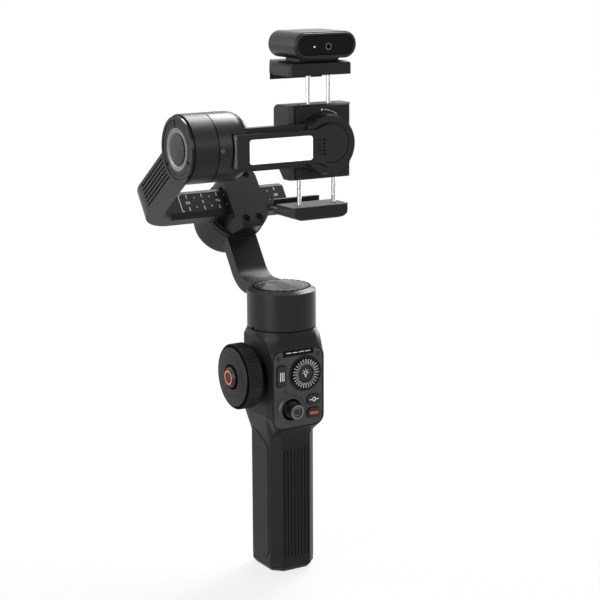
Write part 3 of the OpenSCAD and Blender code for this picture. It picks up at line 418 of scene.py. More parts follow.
def softened(node, material, radius=None, angle=28, segments=2, wide=0.0, where=None,
             rounded=None):
    """A copy of a CAD node with its sharp edges rounded, shown in the node's place.

    They get the fine edge's radius if none is given.
    Edges whose middle passes the test 'where' get the wider radius first.
    Where the faces beside an edge are narrow, its radius is only what they leave room for.
    Faces whose middle passes 'rounded' are shaded as one flowing form.
    """
    source = NODES[node]
    mesh = bmesh.new()
    mesh.from_mesh(source.data)
    bmesh.ops.remove_doubles(mesh, verts=mesh.verts, dist=WELD)
    bmesh.ops.dissolve_limit(mesh, angle_limit=radians(FLAT), use_dissolve_boundaries=False,
                             verts=mesh.verts, edges=mesh.edges, delimit=set())

    def corners():
        limit = radians(angle)
        return [e for e in mesh.edges if len(e.link_faces) == 2 and e.calc_face_angle(0) > limit]

    if wide:
        chosen = [e for e in corners() if where((e.verts[0].co + e.verts[1].co) / (2 * MM))]
        bevelled(mesh, chosen, wide, 4, clamp=True)
    bevelled(mesh, corners(), radius or sizes().fine_edge, segments, clamp=True)
    piece = join_piece(node + "_softened", mesh, material, source["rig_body"], 34, True)
    if rounded:
        flowing(piece, rounded)
    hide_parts(node)


def flowing(piece, rounded):
    """Shades the outer faces whose middle passes a test as one soft form. No face moves."""
    # The normals are averaged within this distance.
    reach = 5 * MM
    longest_edge = 3 * MM
    smallest_sample = 0.4 * MM ** 2
    # An outer face looks outwards, and its plane lies further than this from the pan axis.
    outward = 6 * MM
    # Faces mix when the cosine of the angle between them is above this.
    alike = 0.6
    data = piece.data
    mesh = bmesh.new()
    mesh.from_mesh(data)

    def outer(centre, normal):
        return rounded(centre / MM) and centre.x * normal.x + centre.y * normal.y > outward

    def zone():
        return [f for f in mesh.faces if outer(f.calc_center_median(), f.normal)]

    bmesh.ops.triangulate(mesh, faces=zone())
    for _ in range(5):
        inside = set(zone())
        long = [e for e in mesh.edges
                if e.calc_length() > longest_edge and inside.issuperset(e.link_faces)]
        if not long:
            break
        bmesh.ops.subdivide_edges(mesh, edges=long, cuts=1)
        bmesh.ops.triangulate(mesh, faces=zone())
    samples = [(f.calc_center_median(), f.calc_area(), f.normal.copy()) for f in zone()
               if f.calc_area() > smallest_sample]
    mesh.to_mesh(data)
    mesh.free()
    tree = KDTree(len(samples))
    for i, sample in enumerate(samples):
        tree.insert(sample[0], i)
    tree.balance()
    even = piece.evaluated_get(bpy.context.evaluated_depsgraph_get()).data
    normals = [n.vector.copy() for n in even.corner_normals]
    for face in data.polygons:
        if not outer(face.center, face.normal):
            continue
        for loop in face.loop_indices:
            corner = data.vertices[data.loops[loop].vertex_index].co
            total = Vector()
            for _, i, gap in tree.find_range(corner, reach):
                _, area, normal = samples[i]
                if normal.dot(face.normal) > alike:
                    total += normal * area * (1 - gap / reach) ** 2
            if total.length > 0:
                normals[loop] = total.normalized()
    piece.modifiers.clear()
    data.normals_split_custom_set(normals)


def plain(material, slot, *nodes):
    """Gives CAD nodes a material and leaves their meshes as they are."""
    for node in nodes:
        data = NODES[node].data
        data.materials.clear()
        data.materials.append(material)


def added_since(mesh, before):
    """The vertices of a mesh that an earlier set of them doesn't hold."""
    return [v for v in mesh.verts if v not in before]


def spun(mesh, outline, at, steps=64, angle=360, closed=True):
    """Spins an outline of (radius, height) points round the local Z axis of a place."""
    before = set(mesh.verts)
    verts = [mesh.verts.new((r * MM, 0, z * MM)) for r, z in outline]
    pairs = list(zip(verts, verts[1:])) + ([(verts[-1], verts[0])] if closed else [])
    geom = verts + [mesh.edges.new(p) for p in pairs]
    full = angle == 360
    if not full and closed:
        geom.append(mesh.faces.new(verts))
    bmesh.ops.spin(mesh, geom=geom, cent=(0, 0, 0), axis=(0, 0, 1), dvec=(0, 0, 0),
                   angle=radians(angle), steps=steps, use_merge=full,
                   use_normal_flip=False, use_duplicate=False)
    bmesh.ops.remove_doubles(mesh, verts=added_since(mesh, before), dist=0.001 * MM)
    bmesh.ops.transform(mesh, matrix=at, verts=added_since(mesh, before))


def bar(mesh, x, y, w, h, low, high, at, turn=0.0):
    """A block w by h on the local XY plane of a place, from low to high above it."""
    shape = (at @ Matrix.Rotation(radians(turn), 4, "Z") @ place(x, y, (low + high) / 2)
             @ Matrix.Diagonal((w * MM, h * MM, (high - low) * MM, 1)))
    bmesh.ops.create_cube(mesh, size=1, matrix=shape)


def ring(mesh, r_out, r_in, low, high, at, start=0, sweep=360, steps=64):
    """A flat ring or a part of one."""
    turned = at @ Matrix.Rotation(radians(start), 4, "Z")
    spun(mesh, [(r_in, low), (r_out, low), (r_out, high), (r_in, high)], turned, steps, sweep)


def frame_line(mesh, w, h, radius, line, high, at):
    """A rounded rectangular line, w by h outside, standing up from a place."""
    before = set(mesh.verts)
    sheet = bmesh.ops.create_grid(mesh, x_segments=1, y_segments=1, size=0.5,
                                  matrix=Matrix.Diagonal((w * MM, h * MM, 1, 1)))
    corners = bevelled(mesh, sheet["verts"], radius * MM, 6, "VERTICES")["verts"]
    face = next(f for f in mesh.faces if any(v in corners for v in f.verts))
    bmesh.ops.inset_region(mesh, faces=[face], thickness=line * MM, depth=0, use_even_offset=True)
    rim = [f for e in face.edges for f in e.link_faces if f is not face]
    bmesh.ops.delete(mesh, geom=[face], context="FACES")
    made = bmesh.ops.extrude_face_region(mesh, geom=rim)
    top = [g for g in made["geom"] if isinstance(g, bmesh.types.BMVert)]
    bmesh.ops.translate(mesh, verts=top, vec=(0, 0, high * MM))
    bmesh.ops.transform(mesh, matrix=at, verts=added_since(mesh, before))


def disc(mesh, radius, low, high, at, x=0.0, y=0.0, steps=32):
    """A round plate."""
    bmesh.ops.create_cone(mesh, cap_ends=True, segments=steps, radius1=radius * MM, radius2=radius * MM,
                          depth=(high - low) * MM, matrix=at @ place(x, y, (low + high) / 2))


def made_right(mesh):
    """Turns all normals of a mesh outwards."""
    bmesh.ops.recalc_face_normals(mesh, faces=mesh.faces)
    return mesh


def drawn(name, body, material, slot, shape, *values, **options):
    """A piece made of one shape, which a function draws from those values."""
    mesh = bmesh.new()
    shape(mesh, *values, **options)
    join_piece(name, made_right(mesh), material, body)


def seam(name, body, r_out, r_in, height, at):
    """Painted shade: a dark line round a motor, in the gap where two of its parts meet."""
    half = 0.28
    drawn(name, body, black_and_painted_shade(), "shell", ring, r_out, r_in, height - half, height + half, at,
          steps=96)


def inlay(name, node, body, low, high, lift, material):
    """The part of a node's upward faces inside a box, lifted off the node as a thin inlay."""
    mesh = bmesh.new()
    mesh.from_mesh(NODES[node].data)
    upward = 0.5
    bmesh.ops.delete(mesh, geom=[f for f in mesh.faces if f.normal.z < upward], context="FACES")
    for axis in range(2):
        for value, side in ((low[axis], -1), (high[axis], 1)):
            point = Vector((0, 0, 0))
            point[axis] = value * MM
            normal = Vector((0, 0, 0))
            normal[axis] = side
            geom = mesh.verts[:] + mesh.edges[:] + mesh.faces[:]
            bmesh.ops.bisect_plane(mesh, geom=geom, dist=1e-7, plane_co=point, plane_no=normal,
                                   clear_outer=True, clear_inner=False)
    bmesh.ops.translate(mesh, verts=mesh.verts, vec=(0, 0, lift * MM))
    join_piece(name, mesh, material, body)


def printed(name, body, build, material=None):
    """A thin printed mark, built by a function that draws on a mesh with the ink's thickness."""
    drawn(name, body, material or white_ink(), None, build, sizes().ink / MM)


def digit(mesh, value, h, thick, at):
    """A plain seven-bar figure in the middle of a place."""
    lit = {0: "abcdef", 2: "abged", 4: "fgbc", 6: "afgecd"}[value]
    w = h * 0.52
    line = h * 0.14
    tall = h / 2 + line
    spots = {"a": (0, h / 2, w, line), "g": (0, 0, w, line), "d": (0, -h / 2, w, line),
             "b": (w / 2, h / 4, line, tall), "c": (w / 2, -h / 4, line, tall),
             "f": (-w / 2, h / 4, line, tall), "e": (-w / 2, -h / 4, line, tall)}
    for key in lit:
        bar(mesh, *spots[key], 0, thick, at)


def seen_directly(tree):
    """1 for camera, glossy and transmission rays, which see the white background as it is."""
    rays = add(tree, "ShaderNodeLightPath").outputs
    first = add(tree, "ShaderNodeMath", links={0: rays["Is Camera Ray"], 1: rays["Is Glossy Ray"]},
                operation="MAXIMUM")
    both = add(tree, "ShaderNodeMath", links={0: first.outputs[0], 1: rays["Is Transmission Ray"]},
               operation="MAXIMUM")
    return both.outputs[0]


# Steps

class GimbalStep:
    """Shared base of the steps."""
    bl_options = {"REGISTER", "UNDO"}

    def execute(self, context):
        self.build()
        return {"FINISHED"}


class GIMBAL_OT_handle(GimbalStep, bpy.types.Operator):
    """Handle shells, base cap, grip pads and tripod socket"""
    bl_idname = "gimbal.handle"
    bl_label = "Handle"

    def build(self):
        def flows(p):
            """Above the panel and below it the head runs softly into the motor and the grip."""
            panel_top = 133
            grip_top = 82
            panel_foot = 101
            return p.z > panel_top or grip_top < p.z < panel_foot

        for shell in ("front_shell", "rear_shell"):
            softened(shell, moulded_abs(), rounded=flows)
        softened("base_cap", moulded_abs(), sizes().edge)
        for side in ("left", "right"):
            softened(side + "_grip_pad", soft_rubber())
        plain(turned_brass(), "brass", "tripod_insert")
        plain(dark_screw(), "steel", "shell_screws", "trigger_pin")
        # The common tripod thread has twenty turns to the inch. Here each turn is a ring of its own.
        pitch = 1.27
        rise = 0.5
        bore_r = 3.17
        crest_r = 2.75
        thread = bmesh.new()
        for turn in range(7):
            foot = 0.4 + turn * pitch
            outline = [(bore_r, foot), (crest_r, foot + rise), (bore_r, foot + 2 * rise)]
            spun(thread, outline, ORIGIN, 48)
        join_piece("socket_thread", made_right(thread), turned_brass(), "handle", 20)
        seam("pan_seam_shade", "handle", 20.0, 19.5, 147.7, ORIGIN)


class GIMBAL_OT_panel(GimbalStep, bpy.types.Operator):
    """Plate of the control panel, with its indicator window"""
    bl_idname = "gimbal.panel"
    bl_label = "Control panel"

    def build(self):
        softened("panel_plate", satin_panel())
        softened("indicator_lens", dark_window())
        front = on_front("indicator_lens")

        def lights(mesh, thick):
            """Four short bars in a row."""
            for x in (-6.3, -2.1, 2.1, 6.3):
                bar(mesh, x, 0.35, 3.4, 0.45, 0, thick, front)
        printed("indicator_lights", "handle", lights)
        # Painted shade in the gaps round the plate, the buttons and the dial: dark lines which end just
        # above the plate.
        seams = bmesh.new()
        plate = facing_front(0, PLATE_Y + 0.28, middle("panel_plate").z)
        frame_line(seams, 33.7, 46.7, 5.6, 0.55, 0.35, plate)
        # Width, height and corner radius of the gap round each button.
        for node, w, h, radius in (("menu_button", 6.7, 13.3, 2.2), ("mode_button", 9.7, 6.5, 3.2),
                                   ("record_button", 9.7, 6.5, 3.2)):
            spot = middle(node)
            frame_line(seams, w, h, radius, 0.5, 0.08, facing_front(spot.x, PLATE_Y + 0.05, spot.z))
        dial = middle("dial_wheel")
        ring(seams, 10.75, 10.15, 0, 0.06, facing_front(dial.x, PLATE_Y + 0.02, dial.z), steps=72)
        join_piece("panel_gap_shade", made_right(seams), black_and_painted_shade(), "handle")
        # The bottoms of the two dimples beside the indicator.
        dimples = bmesh.new()
        for x in (-13.3, 13.3):
            disc(dimples, 0.95, 0, 0.3, facing_front(x, PLATE_Y + 0.6, 132.4), steps=24)
        join_piece("dimple_pins", dimples, satin_inlay(), "handle")

        def arrows(mesh, thick):
            """A small cross with four dots, above the joystick."""
            at = facing_front(-9.2, PLATE_Y, 112.4)
            arm_width = 0.5
            arm_length = 3.2
            bar(mesh, 0, 0, arm_width, arm_length, 0, thick, at)
            bar(mesh, 0, 0, arm_length, arm_width, 0, thick, at)
            for x in (-1.2, 1.2):
                for y in (-1.2, 1.2):
                    disc(mesh, 0.25, 0, thick, at, x=x, y=y, steps=12)
        printed("panel_arrows", "handle", arrows, satin_keys())


class GIMBAL_OT_keys(GimbalStep, bpy.types.Operator):
    """Menu, mode and record buttons with their marks"""
    bl_idname = "gimbal.keys"
    bl_label = "Panel buttons"

    def build(self):
        for node in ("menu_button", "mode_button", "record_button"):
            softened(node, satin_keys())

        def menu_mark(mesh, thick):
            """Three upright lines."""
            for x in (-1.2, 0, 1.2):
                bar(mesh, x, 0, 0.5, 5.4, 0, thick, on_front("menu_button"))
        printed("menu_mark", "menu_key", menu_mark)

        def mode_mark(mesh, thick):
            """A ring with a short line on each side."""
            at = on_front("mode_button")
            ring(mesh, 1.25, 0.75, 0, thick, at, steps=32)
            for x in (-2.2, 2.2):
                bar(mesh, x, 0, 1.9, 0.5, 0, thick, at)
        printed("mode_mark", "mode_key", mode_mark)

        def record_mark(mesh, thick):
            """One wide bar."""
            bar(mesh, 0, 0, 5.6, 1.6, 0, thick, on_front("record_button"))
        printed("record_mark", "record_key", record_mark, orange_paint())


class GIMBAL_OT_dial(GimbalStep, bpy.types.Operator):
    """Ribbed dial and the push button in it"""
    bl_idname = "gimbal.dial"
    bl_label = "Panel dial"

    def build(self):
        # The dial's ribs are too narrow for a wider edge.
        rib_edge = 0.12 * MM
        softened("dial_wheel", satin_keys(), rib_edge)
        at = on_front("dial_wheel")
        # Painted shade: a black ring under the ridges darkens the slots between them.
        drawn("dial_slot_shade", "dial", black_and_painted_shade(), "keys", ring, 9.35, 5.5, -0.5, 0.02, at)
        # Painted highlight: light grey bars on the ridge tops.
        ridges = bmesh.new()
        count = sizes().dial_ridges
        for i in range(count):
            bar(ridges, 7.25, 0, 3.1, 0.8, 0, 0.5, at, turn=360 * i / count)
        bevelled(ridges, ridges.edges, rib_edge, 1)
        join_piece("dial_ridges", made_right(ridges), ridge_top_highlight(), "dial")
        collar = [(5.05, -0.3), (5.75, -0.3), (5.75, 0.35), (5.55, 0.5), (5.25, 0.5), (5.05, 0.3)]
        drawn("dial_collar", "dial", satin_panel(), "panel", spun, collar, at)
        softened("dial_button", satin_keys())
        top = on_front("dial_button")

        def lamp_mark(mesh, thick):
            """A lamp bulb with five rays."""
            bulb = top @ place(0, 0.3, 0)
            ring(mesh, 1.25, 0.85, 0, thick, bulb, steps=32)
            bar(mesh, 0, -1.45, 1.1, 0.4, 0, thick, top)
            bar(mesh, 0, -2.05, 0.7, 0.35, 0, thick, top)
            for turn in range(0, 181, 45):
                bar(mesh, 2.1, 0, 0.7, 0.3, 0, thick, bulb, turn=turn)
        printed("dial_mark", "dial_key", lamp_mark)


class GIMBAL_OT_joystick(GimbalStep, bpy.types.Operator):
    """Joystick and its gimbal ring"""
    bl_idname = "gimbal.joystick"
    bl_label = "Joystick"

    def build(self):
        body = NODES["joystick"]["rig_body"]
        softened("joystick", satin_keys(), 0.2 * MM)
        plain(polished_steel(), "steel", "joystick_ring")
        # Painted shade: a dark dome round the stick's foot hides the ring from 13 to 34 degrees above
        # its plane.
        outer_r = 6.12
        inner_r = 5.9
        dome = [radians(a) for a in range(13, 36, 3)]
        outline = [(outer_r * cos(a), outer_r * sin(a)) for a in dome]
        outline += [(inner_r * cos(a), inner_r * sin(a)) for a in reversed(dome)]
        foot = facing_front(*middle("joystick_ring"))
        drawn("joystick_foot_shade", body, black_and_painted_shade(), "keys", spun, outline, foot)
        # A painted highlight ring on the stick's rim, and a smaller ring and a dot in its hollow.
        rings = bmesh.new()
        top = on_front("joystick")
        ring(rings, 4.2, 3.2, -0.02, 0.03, top)
        ring(rings, 2.5, 1.9, -0.65, -0.5, top)
        disc(rings, 1.2, -0.65, -0.4, top)
        join_piece("joystick_rim_highlight_and_rings", made_right(rings), dim_ink_and_highlight(), body)


class GIMBAL_OT_handwheel(GimbalStep, bpy.types.Operator):
    """Side handwheel with its rings and centre button"""
    bl_idname = "gimbal.handwheel"
    bl_label = "Handwheel"

    def build(self):
        softened("handwheel", moulded_abs(), 0.15 * MM)
        softened("wheel_button", gloss_cap(), sizes().edge)
        plain(anodised(), "motor_alu", "wheel_axle")
        button = on_left("wheel_button")
        face = on_left("handwheel")
        # Painted shade: dark lines between the face and the ribbed rim, and round the centre button.
        rim = [(17.4, -1.22), (17.95, -1.72), (18.75, -1.74), (18.75, -2.2), (17.9, -2.2), (17.35, -1.3)]
        hub = [(6.45, -0.86), (6.6, -0.86), (7.6, -0.33), (7.6, -0.4), (6.6, -0.93), (6.45, -0.93)]
        lines = bmesh.new()
        spun(lines, rim, face, 96)
        spun(lines, hub, face)
        join_piece("handwheel_shade_lines", made_right(lines), black_and_painted_shade(), "side_wheel")
        drawn("handwheel_rim_line", "side_wheel", satin_keys(), "keys", ring, 12.3, 12.05, -0.02, 0.03,
              face, steps=96)
        # The button's slanting side is a satin ring, and its top has an orange one.
        slant = [(4.35, 0.02), (6.04, -1.37), (6.04, -1.9), (5.9, -1.9), (5.9, -1.5), (4.3, -0.15)]
        drawn("handwheel_button_ring", "side_key", satin_inlay(), "panel", spun, slant, button)
        drawn("handwheel_orange_ring", "side_key", orange_paint(), None, ring, 4.3, 3.45, -0.05, 0.06,
              button)


class GIMBAL_OT_back_controls(GimbalStep, bpy.types.Operator):
    """Rear trigger, power button and charging socket"""
    bl_idname = "gimbal.back_controls"
    bl_label = "Trigger, power button and socket"

    def build(self):
        softened("trigger", satin_keys(), sizes().edge)
        softened("power_button", satin_keys())
        power = on_right("power_button")

        def power_mark(mesh, thick):
            """An open ring with a line in its gap."""
            ring(mesh, 1.5, 1.2, 0, thick, power, start=-150, sweep=300, steps=32)
            bar(mesh, -1.3, 0, 1.2, 0.3, 0, thick, power)
        printed("power_mark", "power_key", power_mark)
        socket = facing_right(0, -8.3, 103)
        drawn("socket_tongue", "handle", satin_keys(), "keys", bar, 0, 0, 6.4, 0.8, 15.5, 17.8, socket)


class GIMBAL_OT_pan_motor(GimbalStep, bpy.types.Operator):
    """Pan motor shell and its domed cap"""
    bl_idname = "gimbal.pan_motor"
    bl_label = "Pan motor"

    def build(self):
        softened("pan_shell", anodised())
        softened("pan_cap", gloss_cap(), angle=40)
        plain(anodised(), "motor_alu", "pan_motor_base")
        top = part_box("pan_shell")[1].z / MM
        # Painted shade: a ring of dark dashes round the cap.
        dashes = 24
        rim = bmesh.new()
        for i in range(dashes):
            start = i * 360 / dashes
            ring(rim, 16.95, 16.3, top - 0.1, top + 0.34, ORIGIN, start=start, sweep=12.5, steps=4)
        join_piece("pan_cap_dash_shade", made_right(rim), black_and_painted_shade(), "pan")
        inlay("pan_cap_band", "pan_cap", "pan", (-4.6, -11.2), (3.8, 11.2), 0.04, soft_rubber())
        drawn("pan_cap_ring", "pan", dark_trim(), "gloss", ring, 13.3, 13.0, top + 0.3, top + 0.52,
              ORIGIN, steps=96)


class GIMBAL_OT_pan_arm(GimbalStep, bpy.types.Operator):
    """Curved arm between the pan and roll motors"""
    bl_idname = "gimbal.pan_arm"
    bl_label = "Pan arm"

    def build(self):
        softened("pan_arm", anodised(), 0.9 * MM, angle=20, segments=3)


class GIMBAL_OT_roll_motor(GimbalStep, bpy.types.Operator):
    """Roll motor, slide holder, screws and lock knob"""
    bl_idname = "gimbal.roll_motor"
    bl_label = "Roll motor and slide holder"

    def build(self):
        softened("roll_housing", anodised(), sizes().edge)
        seam("roll_seam", "pan", 19.2, 18.8, -84.3, IN_ROLL)
        softened("roll_cap", gloss_cap())
        softened("roll_rotor", anodised())
        softened("slide_holder", anodised(), 0.7 * MM, segments=3)
        softened("holder_screws", dark_screw(), 0.1 * MM)
        softened("lock_knob", satin_keys(), 0.12 * MM)


class GIMBAL_OT_balance_bar(GimbalStep, bpy.types.Operator):
    """Balance bar with its printed scale, the ribbed arm and the tilt motor's housing"""
    bl_idname = "gimbal.balance_bar"
    bl_label = "Balance bar and ribbed arm"

    def build(self):
        # The bar's edges are rounder than those of the ribbed arm.
        softened("support_arm", anodised(), wide=0.8 * MM,
                 where=lambda p: p.x > -36 and p.z < 245)
        at = IN_ROLL @ place(0, BAR_LIFT, BAR_FRONT)

        def scale(mesh, thick):
            """An end bracket, then marks in turn: a figure, two dots, a long mark and two dots."""
            first = -36.9
            bar(mesh, -42, 0, 0.4, 11, 0, thick, at)
            for y in (-5.3, 5.3):
                bar(mesh, -41.4, y, 1.6, 0.4, 0, thick, at)
            for i in range(13):
                x = first + i * sizes().scale_step / MM
                if i % 2:
                    for y in (-3.1, 3.1):
                        bar(mesh, x, y, 0.45, 0.7, 0, thick, at)
                    continue
                for y in (-4.1, 4.1):
                    bar(mesh, x, y, 0.4, 2.4, 0, thick, at)
                if i % 4 == 0:
                    turned = at @ place(x, 0, 0) @ Matrix.Rotation(radians(90), 4, "Z")
                    digit(mesh, i // 2, 2.3, thick, turned)
                else:
                    bar(mesh, x, 0, 0.4, 2.0, 0, thick, at)
        printed("balance_scale", "balance", scale)


class GIMBAL_OT_tilt_motor(GimbalStep, bpy.types.Operator):
    """End cap of the tilt motor"""
    bl_idname = "gimbal.tilt_motor"
    bl_label = "Tilt motor"

    def build(self):
        softened("tilt_end_cap", gloss_cap())
        face = on_left("tilt_end_cap")
        # Three gloss arcs round the cap, with painted shade in the gap where each one starts.
        starts = (10, 127, 246)
        gap_angle = 5
        arcs = bmesh.new()
        gaps = bmesh.new()
        for i, start in enumerate(starts):
            sweep = (starts[(i + 1) % 3] - start) % 360 - gap_angle
            ring(arcs, 16.2, 14.6, -1.2, -0.35, face, start=start + gap_angle / 2, sweep=sweep, steps=32)
            bar(gaps, 14.2, 0, 4.6, 0.6, -1.2, -0.3, face, turn=start)
        join_piece("tilt_cap_ring", made_right(arcs), gloss_cap(), "balance")
        trim = [(9.2, -0.9), (9.2, -0.56), (11.6, -0.1), (11.9, -0.14), (12.0, -0.3), (12.0, -1.1)]
        drawn("tilt_cap_bright_ring", "balance", dark_trim(), "motor_alu", spun, trim, face)
        dome = [(0, 0.04), (8.3, 0.0), (8.7, -0.12), (8.8, -0.4), (8.8, -0.8), (0, -0.3)]
        drawn("tilt_cap_crown", "balance", satin_inlay(), "keys", spun, dome, face)
        join_piece("tilt_cap_gap_shade", gaps, black_and_painted_shade(), "balance")
        # A mark of three short lines on the drum shows the level.
        drum = place(0, TILT_Y, TILT_Z) @ Matrix.Rotation(radians(90), 4, "Y")
        mark_x = -54.7
        level = bmesh.new()
        for y, half in ((-0.9, 0.8), (0, 1.3), (0.9, 0.8)):
            bar(level, 19.5, y, 0.08, 0.35, mark_x - half, mark_x + half, drum, turn=-90)
        join_piece("tilt_level_mark", level, dim_ink_and_highlight(), "tilt")
        seam("tilt_seam", "balance", 19.2, 18.8, -56.7, drum)


class GIMBAL_OT_tilt_arm(GimbalStep, bpy.types.Operator):
    """Tilt arm and its fill light"""
    bl_idname = "gimbal.tilt_arm"
    bl_label = "Tilt arm and fill light"

    def build(self):
        def arm_front(p):
            """The long edges at the front of the arm."""
            return abs(p.y + 28) < 0.3 and -42 < p.x < 3 and abs(p.z - TILT_Z) > 11.7

        def housing_front(p):
            """The edges at the front of the housing: its long sides and its round end."""
            side = abs(p.z - TILT_Z) > 9.1
            end = p.x > 0 and hypot(p.x - CLAMP_X, p.z - TILT_Z) > 12.1
            return p.y < -33.5 and p.x > -42.5 and (side or end)

        wide_edge = 1.1 * MM
        softened("tilt_arm", half_gloss(), wide=wide_edge, where=arm_front)
        softened("light_housing", half_gloss(), 0.15 * MM, wide=wide_edge, where=housing_front)
        softened("light_diffuser", lit_diffuser())
        plain(board_green(), "board", "led_board")
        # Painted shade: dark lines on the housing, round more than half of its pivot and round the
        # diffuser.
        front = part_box("light_housing")[0].y / MM
        lines = bmesh.new()
        pivot = facing_front(CLAMP_X, front, TILT_Z)
        ring(lines, 11.1, 10.7, 0, 0.03, pivot, start=-112, sweep=224, steps=72)
        low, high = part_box("light_diffuser")
        size = (high - low) / MM
        spot = middle("light_diffuser")
        rim = facing_front(spot.x, front, spot.z)
        frame_line(lines, size.x + 1.1, size.z + 1.1, 2.0, 0.6, 0.03, rim)
        join_piece("light_housing_shade_lines", made_right(lines), black_and_painted_shade(), "tilt")


class GIMBAL_OT_clamp(GimbalStep, bpy.types.Operator):
    """Clamp block, its pad, springs and printed index"""
    bl_idname = "gimbal.clamp"
    bl_label = "Phone clamp"

    def build(self):
        softened("clamp_block", moulded_nylon(), sizes().edge, segments=3)
        plain(soft_rubber(), "rubber", "clamp_pad")
        plain(polished_steel(), "steel", "upper_springs", "lower_springs")
        face = facing_front(CLAMP_X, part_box("clamp_block")[0].y / MM, TILT_Z - 1)

        def index(mesh, thick):
            """A dot and a thin arc beside it, which show how far the clamp is turned."""
            disc(mesh, 0.55, 0, thick, face, x=0.1, y=18.9, steps=24)
            ring(mesh, 19.1, 18.85, 0, thick, face, start=57, sweep=28, steps=20)
        printed("turn_index", "clamp", index)


class GIMBAL_OT_jaws(GimbalStep, bpy.types.Operator):
    """Upper and lower jaw with rods and pads"""
    bl_idname = "gimbal.jaws"
    bl_label = "Jaws"

    def rods(self, node, body):
        """Two round rods with their collars, at the node's own places."""
        low, high = (Vector(corner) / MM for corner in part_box(node))
        rod_r = 1.3
        chamfer = 0.1
        collar_r = (high.y - low.y) / 2
        left = low.x + collar_r
        right = high.x - collar_r
        y = (low.y + high.y) / 2

        def on_collar(spot):
            """Whether a spot of the node lies on the rim of the left rod's collar."""
            return rod_r + 0.3 < hypot(spot.x / MM - left, spot.y / MM - y) < collar_r + 0.1

        heights = [v.co.z / MM for v in NODES[node].data.vertices if on_collar(v.co)]
        under = min(heights)
        over = max(heights)
        outline = [(0, low.z), (rod_r - chamfer, low.z), (rod_r, low.z + chamfer), (rod_r, under),
                   (collar_r, under), (collar_r, over), (rod_r, over), (rod_r, high.z - chamfer),
                   (rod_r - chamfer, high.z), (0, high.z)]
        mesh = bmesh.new()
        for x in (left, right):
            spun(mesh, outline, place(x, y, 0), 48, closed=False)
        piece = join_piece(node + "_turned", made_right(mesh), polished_steel(), body)
        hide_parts(node)

    def build(self):
        # Each jaw's name and body, and the heights of the two sides of its pad.
        for name, body, low, high in (("upper", "jaw_up", 295.32, 295.68),
                                      ("lower", "jaw_down", 217.32, 217.68)):
            softened(name + "_jaw", moulded_nylon(), sizes().edge, wide=0.9 * MM,
                     where=lambda p: p.y < -20.5)
            self.rods(name + "_rods", body)
            drawn(name + "_jaw_pad", body, soft_rubber(), "rubber", bar, CLAMP_X, 0.95, 36.5, 8.5,
                  low, high, ORIGIN)


class GIMBAL_OT_tracker(GimbalStep, bpy.types.Operator):
    """Tracking module with its window, lens and light"""
    bl_idname = "gimbal.tracker"
    bl_label = "Tracking module"

    def build(self):
        softened("tracker_body", half_gloss(), sizes().edge)
        softened("tracker_window", dark_window())
        window_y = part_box("tracker_window")[0].y / MM
        eye = facing_front(15.7, window_y, 311)
        drawn("tracker_lens_ring", "tracker", dim_ink_and_highlight(), "steel", ring, 1.9, 1.45, 0, 0.12, eye,
              steps=40)
        drawn("tracker_lens", "tracker", black_and_painted_shade(), "window", disc, 1.4, -0.1, 0.06, eye)
        lamp = facing_front(6.5, window_y, 311.1)
        drawn("tracker_light", "tracker", lit_diffuser(), "light", disc, 0.4, 0, 0.1, lamp)


class GIMBAL_OT_inside(GimbalStep, bpy.types.Operator):
    """Battery, circuit board, motor windings, magnets and bearings"""
    bl_idname = "gimbal.inside"
    bl_label = "Inner pieces"

    def build(self):
        plain(cell_wrap(), "cell", "battery_cell")
        plain(board_green(), "board", "circuit_board")
        plain(wound_copper(), "stator", "pan_stator", "roll_stator", "tilt_stator")
        plain(nickel_magnet(), "magnet", "pan_magnets", "roll_magnets", "tilt_magnets")
        plain(polished_steel(), "steel", "pan_bearings", "roll_bearings", "tilt_bearings")
        plain(anodised(), "motor_alu", "tilt_rotor")


